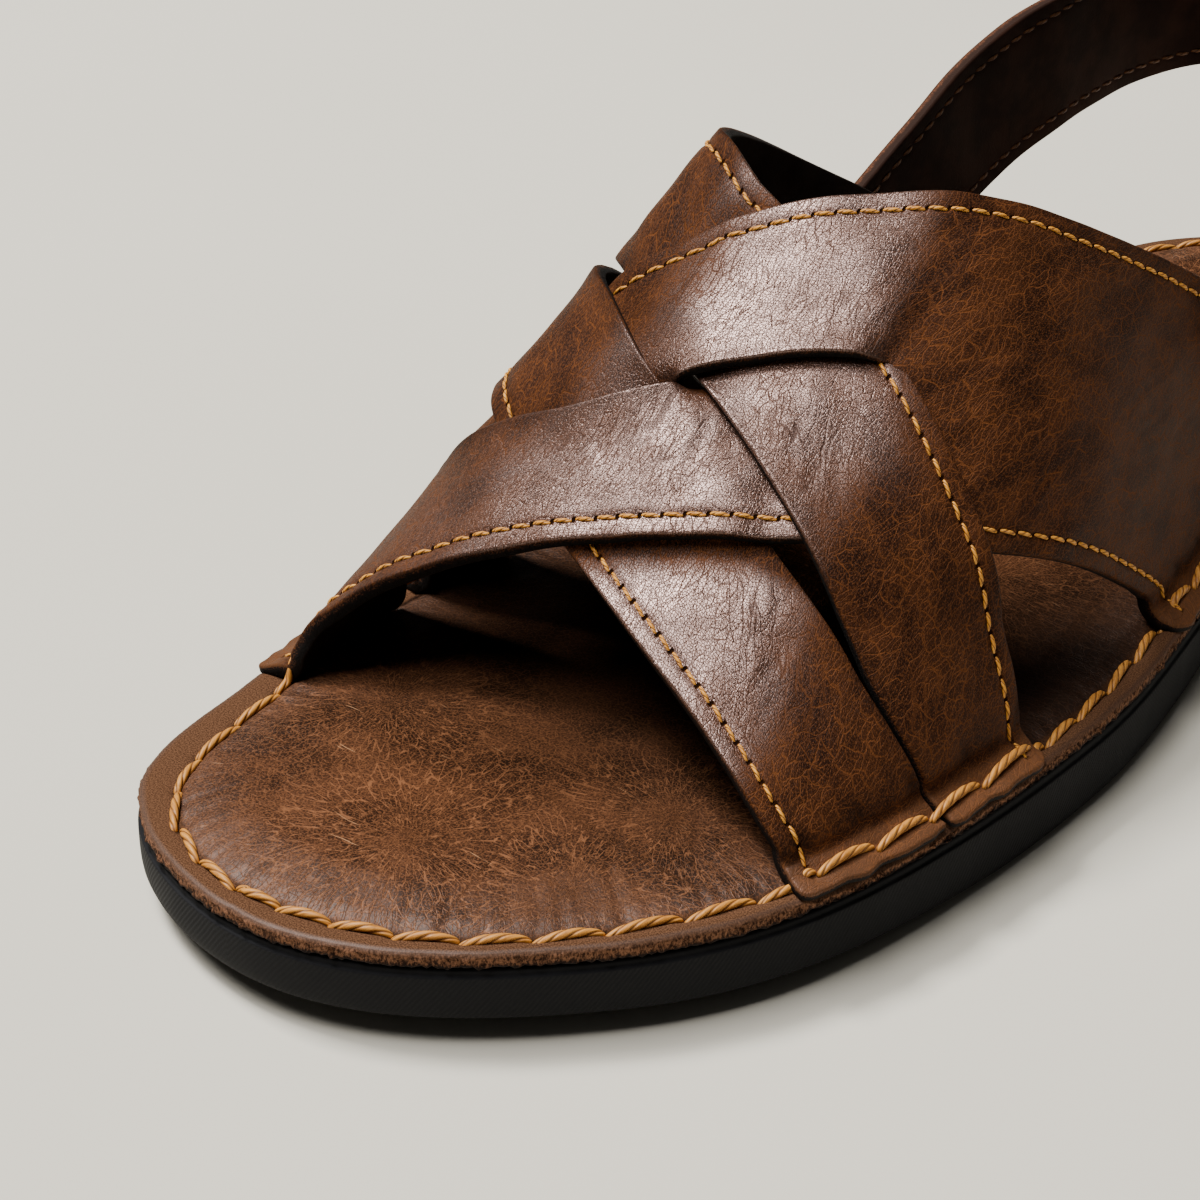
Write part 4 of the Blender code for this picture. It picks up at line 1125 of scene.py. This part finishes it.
def make_band(name, band, other, slit_end, open_side, sign, creases, gloss_spots, finishes):
    """One band of the upper as a sheet with its slit, its weave, its rounded edges and its stitch-down ends.

    Rows run from the inner flange over the wall to the outer flange. Every point moves along the wall's
    normal by the weave's height, the creases and the groove under the thread.
    """
    rows = 420
    ends = []
    for end in (-1.0, 1.0):
        columns = strap_columns(band, np.array([end]))[0][0]
        rise = table_spline(RIDGE, 1, columns) - INSOLE_TOP
        ends.append(end * 2 / np.pi * np.arccos((FLANGE_FOOT - INSOLE_TOP) / rise))
    fine = np.linspace(0.0, 1.0, 800)
    middle_turn = ends[0].mean() * (1 - fine) + ends[1].mean() * fine
    front, _, _, rear = band_lines(band, middle_turn)
    length = path_length(arch(middle_turn, (front + rear) / 2))
    share = np.interp(np.linspace(0, length[-1], rows + 1), length, fine)[:, None]
    turn = ends[0] * (1 - share) + ends[1] * share
    columns, half_slit = strap_columns(band, turn)
    number = np.arange(columns.shape[-1])
    along = np.take_along_axis(columns, number[None, :, None], -1)[..., 0]
    own = band_place(band, turn, along)
    cross = band_place(other, turn, along)
    per_turn = length[-1] / (ends[1].mean() - ends[0].mean())
    past_end = open_side * (turn - slit_end) * per_turn
    level = weave_level(own, cross, smooth_step(past_end / SLIT_OPENING), sign)
    normal = arch_normal(turn, along)
    middle_run = np.broadcast_to(np.linspace(0, length[-1], rows + 1)[:, None], turn.shape)
    swell = 0.10 * ripple(50, 21.0, middle_run, own[0]) + 0.05 * ripple(51, 8.0, middle_run, own[0])
    wall = arch(turn, along)
    for side in (-1, 1):
        flare = FLANGE_FLARE[side] * (1 - smooth_step((wall[..., 2] - FLANGE_FOOT) / 14.0)) * (turn * side > 0)
        wall = wall + flare[..., None] * base_outward(side, along)
        end = along[0 if side < 0 else -1]
        foot = np.stack([arch_base(side, end), end, np.full_like(end, FLANGE_FOOT)], -1)
        miss = foot + FLANGE_FLARE[side] * base_outward(side, end) - wall[0 if side < 0 else -1]
        near = (1 - smooth_step((wall[..., 2] - FLANGE_FOOT) / 12.0)) * (turn * side > 0)
        wall = wall + near[..., None] * miss
    wall = wall + (level + swell)[..., None] * normal
    strip = len(number) // 2
    joined = [open_side * (end - slit_end) < 0 for end in (-1.0, 1.0)]
    sides = []
    slit_gap = np.where(number < strip, -own[1], own[1]) - half_slit * across_rate(band, 1, turn)
    for side, row, whole in ((-1, 0, joined[0]), (1, -1, joined[1])):
        edge = np.minimum(own[0][row], own[2][row])
        slit_edge = np.full_like(edge, 9.0) if whole else np.maximum(slit_gap[row], 0.0)
        sides.append(flange_rows(side, along[row], edge, slit_edge))
    points = np.concatenate([sides[0][0], wall, sides[1][0][::-1]])
    normals = np.concatenate([sides[0][1], normal, sides[1][1][::-1]])
    flange = len(sides[0][0])

    def over_flanges(values):
        """Values of the wall carried on over both flanges."""
        return np.concatenate([np.repeat(values[:1], flange, 0), values, np.repeat(values[-1:], flange, 0)])

    edge_front, edge_rear = over_flanges(own[0]), over_flanges(own[2])
    opened = over_flanges(smooth_step(past_end / 1.6))
    edge_slit = over_flanges(np.maximum(slit_gap, 0.0))
    tip = np.full(points.shape[:2], 99.0)
    half = np.full(points.shape[:2], STRAP_THICKNESS / 2)
    for rows_of, (_, _, distance, inset) in ((slice(None, flange), sides[0]), (slice(-1, -flange - 1, -1), sides[1])):
        tip[rows_of] = distance
        half[rows_of] = flange_half(inset)
    run = over_flanges(middle_run)
    run[:flange] -= sides[0][2][-1:] - sides[0][2]
    run[-flange:] += (sides[1][2][-1:] - sides[1][2])[::-1]
    from_tip = np.stack([run - run[:1], run[-1:] - run])
    hole_gap = np.stack([near_hole(arch_run(-1, along[0])), near_hole(arch_run(1, along[-1]))])
    dent = (0.22 * hump(hole_gap[:, None, :] / 1.3) * hump((from_tip - 8.6) / 1.5)).sum(0)
    dent -= (0.10 * hump((hole_gap[:, None, :] - 3.4) / 1.6) * hump((from_tip - 9.4) / 1.6)).sum(0)
    fall, under = [], []
    for edge, share_open in ((edge_front, 1.0), (edge_rear, 1.0), (edge_slit, opened), (tip, 1.0)):
        fall.append(corner_drop(edge, EDGE_RADIUS) * share_open)
        under.append(corner_drop(edge, EDGE_RADIUS * 0.6) * share_open)
    thick = half - np.max(fall, 0)
    thin = half - np.max(under, 0)
    seam_edge = np.minimum(edge_front, edge_rear)
    clear_tip = smooth_step((tip - 1.0) / 1.5)
    groove = thread_groove(seam_edge) * clear_tip
    relief = crease_relief(creases, run, edge_front) * smooth_step(seam_edge / 3.0) - dent
    top = points + (thick - groove + relief)[..., None] * normals
    bottom = points - (thin - 0.5 * relief)[..., None] * normals
    slit_turn = over_flanges(turn)[:, strip]
    slit_turn[:flange], slit_turn[-flange:] = -1.0, 1.0
    between = (slit_turn[1:] + slit_turn[:-1]) / 2
    cells = np.ones((len(points) - 1, len(number) - 1), bool)
    cells[open_side * (between - slit_end) > 0, strip - 1] = False
    seams, run_at_seam = [], []
    for column in (SEAM_COLUMN, len(number) - 1 - SEAM_COLUMN):
        seams.append((top[:, column], normals[:, column], tip[:, column]))
        run_at_seam.append(path_length(top[:, column]) / THREAD_PITCH)
    seam_run = np.where(edge_front < edge_rear, run_at_seam[0][:, None], run_at_seam[1][:, None])
    seam_off = np.where(clear_tip > 0.5, seam_edge - THREAD_MARGIN, 9.0)
    # Painted shade for the dents at the seam holes and beside the opened slit; also darker along the front and rear
    # edges.
    painted_shade = np.clip(3.0 * dent + 0.30 * hump(edge_slit / 1.5) * opened + 0.25 * hump(seam_edge / 0.6), 0, 1)
    gloss_and_shade = np.clip(crown_gloss(normals) + gloss_spot_share(gloss_spots, run, edge_front), 0, 1)
    # Less gloss where a strip dips under the other band, standing in for the shadow the upper strip casts; the
    # painted wrinkle lines turn warm there too.
    gloss_and_shade = gloss_and_shade * over_flanges(smooth_step((level + 1.6) / 1.3))
    lie = np.radians(np.median([crease[3] for crease in creases]))
    true_run = path_length(points)
    true_run = true_run - true_run[len(points) // 2] + length[-1] / 2
    grain = np.stack([true_run + 200.0 * sign, edge_front, np.zeros_like(run)], -1)
    fold = np.stack([grain[..., 0] * np.cos(lie) + edge_front * np.sin(lie),
                     edge_front * np.cos(lie) - grain[..., 0] * np.sin(lie), grain[..., 2]], -1)
    values = {"seam_run": seam_run, "seam_off": seam_off, "painted_shade": painted_shade, "gloss_and_shade": gloss_and_shade,
              "worn": 1 - smooth_step((tip - 3.5) / 3.5), "creased": creased_share(creases, run, edge_front)}
    piece = make_sheet(name, top, bottom, cells, finishes, {"grain": grain, "fold": fold}, values)
    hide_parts("upper")
    return seams


def make_heel_strap(finishes):
    """Strap round the heel: a line that climbs from both bands, the width square to the climb, rounded edges."""
    inner, outer = side_branch(-1, HEEL_STRAP_INSET)[0], side_branch(1, HEEL_STRAP_INSET)[0]
    inner = inner[inner[:, 1] >= HEEL_STRAP_ENDS[0] - HEEL_STRAP_WIDTH]
    outer = outer[outer[:, 1] >= HEEL_STRAP_ENDS[1] - HEEL_STRAP_WIDTH]
    path = np.concatenate([inner, outer[-2::-1]])
    reach = path_length(path)
    third = len(path) // 3
    start = np.interp(HEEL_STRAP_ENDS[0], path[:third, 1], reach[:third])
    end = np.interp(HEEL_STRAP_ENDS[1], path[::-1][:third, 1], reach[::-1][:third])
    tips = np.array([0.0, 0.1, 0.25, 0.45, 0.75])
    along = np.concatenate([start + tips, np.linspace(start + 1.2, end - 1.2, 560), end - tips[::-1]])
    from_end = np.minimum(along - start, end - along)
    middle = table_spline(HEEL_STRAP_RISE, 1, np.minimum(from_end, HEEL_STRAP_RISE[-1][0]))
    climb = np.arctan(np.gradient(middle, along))
    inwards = np.linspace(EDGE_STEPS[-1], HEEL_STRAP_WIDTH - EDGE_STEPS[-1], 26)[1:-1]
    across = np.concatenate([EDGE_STEPS, inwards, HEEL_STRAP_WIDTH - EDGE_STEPS[::-1]]) - HEEL_STRAP_WIDTH / 2
    at = along[:, None] - np.sin(climb)[:, None] * across
    z = middle[:, None] + np.cos(climb)[:, None] * across
    x, y = [np.interp(at, reach, path[:, i]) for i in (0, 1)]
    inner_side = (along < (start + end) / 2)[:, None]
    offset = STRAP_THICKNESS + HEEL_STRAP_CLEARANCE
    low = np.minimum(z, HEEL_STRAP_LEAN_TOP)
    wall = np.where(inner_side, arch_wall_x(-1, y, low) - offset, arch_wall_x(1, y, low) + offset)
    leave = np.where(inner_side[..., None], HEEL_STRAP_INNER_LEAVE, HEEL_STRAP_OUTER_LEAVE)
    free = smooth_step((y - leave[..., 0]) / (leave[..., 1] - leave[..., 0]))
    points = np.stack([wall * (1 - free) + x * free, y, z], -1)
    out = unit(np.cross(np.gradient(points, axis=1), np.gradient(points, along, axis=0)))
    if ((points[..., :2] - path.mean(0)) * out[..., :2]).sum() < 0:
        out = -out
    points = points - (HEEL_STRAP_LEAN * (z - z.min()) * free)[..., None] * out
    run = np.broadcast_to((along - start)[:, None], z.shape)
    from_low = np.broadcast_to(across + HEEL_STRAP_WIDTH / 2, z.shape)
    edge = np.minimum(from_low, HEEL_STRAP_WIDTH - from_low)
    tip = np.broadcast_to(from_end[:, None], z.shape)
    points = points + (0.12 * ripple(60, 26.0, run, from_low))[..., None] * out
    half = STRAP_THICKNESS / 2
    drop = np.maximum(corner_drop(edge, EDGE_RADIUS), corner_drop(tip, EDGE_RADIUS))
    groove = thread_groove(edge)
    top = points + (half - drop - groove)[..., None] * out
    bottom = points - (half - drop - 0.8 * groove)[..., None] * out
    cells = np.ones(np.array(edge.shape) - 1, bool)
    outside, inside = [], []
    for column in (SEAM_COLUMN, len(across) - 1 - SEAM_COLUMN):
        outside.append((top[:, column], out[:, column], tip[:, column]))
        inside.append((bottom[:, column], -out[:, column], tip[:, column]))
    seam_run = np.where(from_low < HEEL_STRAP_WIDTH / 2, path_length(top[:, SEAM_COLUMN])[:, None],
                        path_length(top[:, -1 - SEAM_COLUMN])[:, None]) / THREAD_PITCH
    grain = np.stack([run, from_low, np.full(z.shape, 90.0)], -1)
    # Painted shade along the heel strap's edges.
    values = {"seam_run": seam_run, "seam_off": edge - THREAD_MARGIN, "painted_shade": 0.25 * hump(edge / 0.8),
              "gloss_and_shade": crown_gloss(out)}
    piece = make_sheet("heel_band", top, bottom, cells, finishes, {"grain": grain, "fold": grain}, values)
    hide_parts("heel_strap")
    return outside, inside


def tube_quads(stitches, rings, around):
    """Faces of many like tubes with closed ends, numbered tube by tube, each end gathered in one point."""
    size = rings * around + 2
    ring = np.arange(rings * around).reshape(rings, around)
    body = ring_quads(ring)
    nxt = np.roll(ring, -1, 1)
    tip, tail = rings * around, rings * around + 1
    pairs = np.arange(0, around, 2)
    caps = []
    for pole, row, after, flip in ((tip, ring[0], nxt[0], True), (tail, ring[-1], nxt[-1], False)):
        cap = np.stack([row[pairs], after[pairs], np.roll(row, -2)[pairs], np.full(len(pairs), pole)], 1)
        caps.append(cap[:, ::-1] if flip else cap)
    one = np.concatenate([body, *caps])
    return (one[None] + (np.arange(stitches) * size)[:, None, None]).reshape(-1, 4)


def stitch_tubes(centre, side, up, radius, lay, plies, around, flatten=1.0):
    """Tubes along many like paths: a round of plies that turns along the path.

    centre, side and up are arrays of stitches by rings by 3. The radius swells at each ply and narrows
    between plies, and the pattern makes a full turn every lay millimetres.
    """
    stitches, rings = centre.shape[:2]
    length = path_length(np.swapaxes(centre, 0, 1)).T
    angle = np.linspace(-np.pi / 2, 3 * np.pi / 2, around, endpoint=False)
    twist = angle[None, None, :] - 2 * np.pi * length[..., None] / lay
    ply = np.abs(np.cos(plies / 2 * twist))
    size = radius[..., None] * (0.80 + 0.20 * np.sqrt(ply))
    spread = np.cos(angle)[None, None, :, None] * side[:, :, None, :]
    rise = np.sin(angle)[None, None, :, None] * up[:, :, None, :] * flatten
    body = centre[:, :, None, :] + size[..., None] * (spread + rise)
    ends = np.stack([centre[:, 0], centre[:, -1]], 1)
    points = np.concatenate([body.reshape(stitches, -1, 3), ends], 1)
    wind = np.stack([twist * plies / (2 * np.pi), np.broadcast_to(length[..., None], twist.shape),
                     np.broadcast_to(np.arange(stitches)[:, None, None] * 3.7, twist.shape)], -1)
    wind = np.concatenate([wind.reshape(stitches, -1, 3), np.zeros((stitches, 2, 3))], 1)
    return points.reshape(-1, 3), tube_quads(stitches, rings, around), {"wind": wind.reshape(-1, 3)}


def seam_surface(run):
    """Height under the seam cord: the footbed's groove, or the top of a strap's sewn end."""
    inset = seam_inset(run)
    inner = np.mod(run, RIM_LENGTH) < HEEL_RUN
    sewn = np.where(inner, flange_middle(-1, inset), flange_middle(1, inset)) + flange_half(inset) - 0.30
    groove = INSOLE_TOP - SEAM_GROOVE
    return groove + flange_share(run) * (sewn - groove)


def make_seam_cord(finish):
    """Thick twisted cord round the footbed: one low arch from hole to hole for each stitch, a little aslant."""
    rings, around, radius = 34, 18, 0.68
    share = np.linspace(0.0, 1.0, rings)
    step = np.diff(np.append(HOLES, HOLES[0] + RIM_LENGTH))
    gap = 0.12
    run = HOLES[:, None] + gap + share * (step[:, None] - 2 * gap)
    rng = np.random.default_rng(21)
    sway = rng.normal(0, 0.10, (len(HOLES), 1))
    inner = np.mod(run, RIM_LENGTH) < HEEL_RUN
    lean = np.where(inner, 0.5 - share, share - 0.5) * -0.9 * np.minimum(step[:, None] / 9.0, 1.0)
    inset = seam_inset(run) + 0.15 * np.sin(np.pi * share) + lean + sway
    plan = rim_at(run, inset)
    lift = -0.70 + 1.36 * np.sin(np.pi * share) ** 0.5
    ground = seam_surface(run)
    for _ in range(6):
        ground[:, 1:-1] = (ground[:, 2:] + 2 * ground[:, 1:-1] + ground[:, :-2]) / 4
    centre = np.concatenate([plan, (ground + lift)[..., None]], -1)
    tangent = unit(np.gradient(centre, axis=1))
    side = unit(np.cross(tangent, np.array([0.0, 0.0, 1.0])))
    up = np.cross(side, tangent)
    taper = radius * (0.66 + 0.34 * np.sin(np.pi * np.clip(share, 0.02, 0.98)) ** 0.5)
    points, quads, marks = stitch_tubes(centre, side, up, np.broadcast_to(taper, run.shape), CORD_LAY, CORD_PLIES,
                                        around)
    piece = make_mesh("seam_cord", points, quads, 0, [finish], marks, sharp=180.0)


def make_threads(name, seams, finish):
    """Fine stitches along the straps: each line of points is cut into stitches, every one a short low arch."""
    rings, around, radius = 8, 6, 0.31
    share = np.linspace(0.0, 1.0, rings)
    centres, sides, ups = [], [], []
    for line, normal, tip in seams:
        length = path_length(line)
        sewn = length[tip > 1.1]
        start = np.arange(np.ceil(sewn[0] / THREAD_PITCH), np.floor(sewn[-1] / THREAD_PITCH)) * THREAD_PITCH
        run = start[:, None] + THREAD_PITCH * (0.04 + 0.92 * share)
        place = np.stack([np.interp(run, length, line[:, i]) for i in range(3)], -1)
        up = unit(np.stack([np.interp(run, length, normal[:, i]) for i in range(3)], -1))
        side = unit(np.cross(unit(np.gradient(place, axis=1)), up))
        lift = -0.36 + 0.60 * np.sin(np.pi * share) ** 0.6
        place = place + lift[:, None] * up + (0.34 * (share - 0.5))[:, None] * side
        tangent = unit(np.gradient(place, axis=1))
        sides.append(unit(np.cross(tangent, up)))
        ups.append(np.cross(sides[-1], tangent))
        centres.append(place)
    centre, side, up = [np.concatenate(group) for group in (centres, sides, ups)]
    taper = radius * (0.6 + 0.4 * np.sin(np.pi * np.clip(share, 0.05, 0.95)) ** 0.5)
    points, quads, marks = stitch_tubes(centre, side, up, np.broadcast_to(taper, centre.shape[:2]), THREAD_LAY,
                                        THREAD_PLIES, around)
    piece = make_mesh(name, points, quads, 0, [finish], marks, sharp=180.0)


CAMERA_PLACE = (0.2291, -0.3425, 0.2455)
CAMERA_DIRECTION = (-0.5635, 0.6483, -0.5120)
# Lamps in metres and watts: name, place, size, power, colour. All are aimed at one point.
LAMPS = (
    ("key", (-1.40, -0.22, 2.58), 0.70, 118.0, (1.0, 0.985, 0.96)),
    ("crown_light", (-0.52, -0.77, 2.69), 1.50, 83.0, (1.0, 0.985, 0.97)),
)
LAMP_TARGET = (0.0, -0.03, 0.03)


def make_floor():
    """A wide plain floor."""
    mesh = bpy.data.meshes.new("floor")
    reach = 4.0
    corners = [(-reach, -reach, 0), (reach, -reach, 0), (reach, reach, 0), (-reach, reach, 0)]
    mesh.from_pydata(corners, [], [(0, 1, 2, 3)])
    mesh.materials.append(floor_finish())
    floor = bpy.data.objects.new("floor", mesh)
    bpy.context.collection.objects.link(floor)


def aim(thing, target):
    """Turns a lamp or the camera towards a point."""
    thing.rotation_euler = (Vector(target) - thing.location).to_track_quat("-Z", "Y").to_euler()


def add_softbox(name, place, target, size, power, colour):
    """A square lamp aimed at a point."""
    lamp = bpy.data.lights.new(name, "AREA")
    lamp.shape = "SQUARE"
    lamp.size = size
    lamp.energy = power
    lamp.color = colour
    thing = bpy.data.objects.new(name, lamp)
    thing.location = place
    bpy.context.collection.objects.link(thing)
    aim(thing, target)


def make_studio():
    """Camera at the photo's angle, soft lamps and an even surround."""
    camera = bpy.data.cameras.new("camera")
    camera.lens = 87.0
    camera.sensor_width = 36.0
    camera.clip_start = 0.01
    thing = bpy.data.objects.new("camera", camera)
    thing.location = CAMERA_PLACE
    bpy.context.collection.objects.link(thing)
    aim(thing, tuple(place + step for place, step in zip(CAMERA_PLACE, CAMERA_DIRECTION)))
    bpy.context.scene.camera = thing
    world = bpy.data.worlds.new("surround")
    world.use_nodes = True
    world.node_tree.nodes["Background"].inputs["Color"].default_value = (1.0, 0.98, 0.95, 1.0)
    world.node_tree.nodes["Background"].inputs["Strength"].default_value = 0.05
    bpy.context.scene.world = world
    for name, place, size, power, colour in LAMPS:
        add_softbox(name, place, LAMP_TARGET, size, power, colour)


def main():
    """Makes every piece of the sandal, its finishes and its stage."""
    strap = strap_leather("strap_grain", (0.0170, 0.0059, 0.0029), (0.055, 0.0188, 0.0070), (0.178, 0.0605, 0.0190))
    heel = strap_leather("heel_grain", (0.0160, 0.0053, 0.0023), (0.052, 0.0163, 0.0055), (0.180, 0.0570, 0.0155))
    edge = raw_edge("strap_edge", (0.0085, 0.0042, 0.0028), (0.120, 0.042, 0.016))
    # The heel strap's cut edge is a redder brown than the straps' edge, and is painted lighter to stand in for the
    # light that falls on it from the left.
    heel_edge = raw_edge("heel_edge", (0.070, 0.0260, 0.0125), (0.19, 0.068, 0.028))
    # The straps' flesh side is kept near black, partly to stand in for the shade inside the upper: painted shade.
    lining = strap_lining("strap_lining", (0.0120, 0.0080, 0.0068), (0.0220, 0.0135, 0.0105))
    heel_lining = strap_lining("heel_lining", (0.0180, 0.0070, 0.0042), (0.036, 0.0140, 0.0082))
    cord = cord_finish("cord_finish", (0.150, 0.046, 0.006), (0.46, 0.176, 0.026), (0.66, 0.296, 0.056), 5.0)
    thread = cord_finish("thread_finish", (0.190, 0.056, 0.006), (0.60, 0.235, 0.024), (0.80, 0.375, 0.056), 3.0)
    # A shaded copy of the thread, much darker, for the stitches on the heel strap's inner face: painted shade.
    shaded_thread = cord_finish("shaded_thread_finish", (0.05, 0.017, 0.005), (0.12, 0.045, 0.012), (0.19, 0.075, 0.02),
                              3.0)
    make_outsole(sole_rubber())
    make_footbed(footbed_leather())
    seams = make_band("outer_band", OUTER_BAND, INNER_BAND, OUTER_SLIT_END, -1, 1, OUTER_CREASES, OUTER_GLOSS_SPOTS,
                      [strap, lining, edge])
    seams += make_band("inner_band", INNER_BAND, OUTER_BAND, INNER_SLIT_END, 1, -1, INNER_CREASES, INNER_GLOSS_SPOTS,
                       [strap, lining, edge])
    outside, inside = make_heel_strap([heel, heel_lining, heel_edge])
    make_seam_cord(cord)
    make_threads("strap_thread", seams, thread)
    make_threads("heel_thread", outside, thread)
    make_threads("heel_inner_thread", inside, shaded_thread)
    make_floor()
    make_studio()


main()
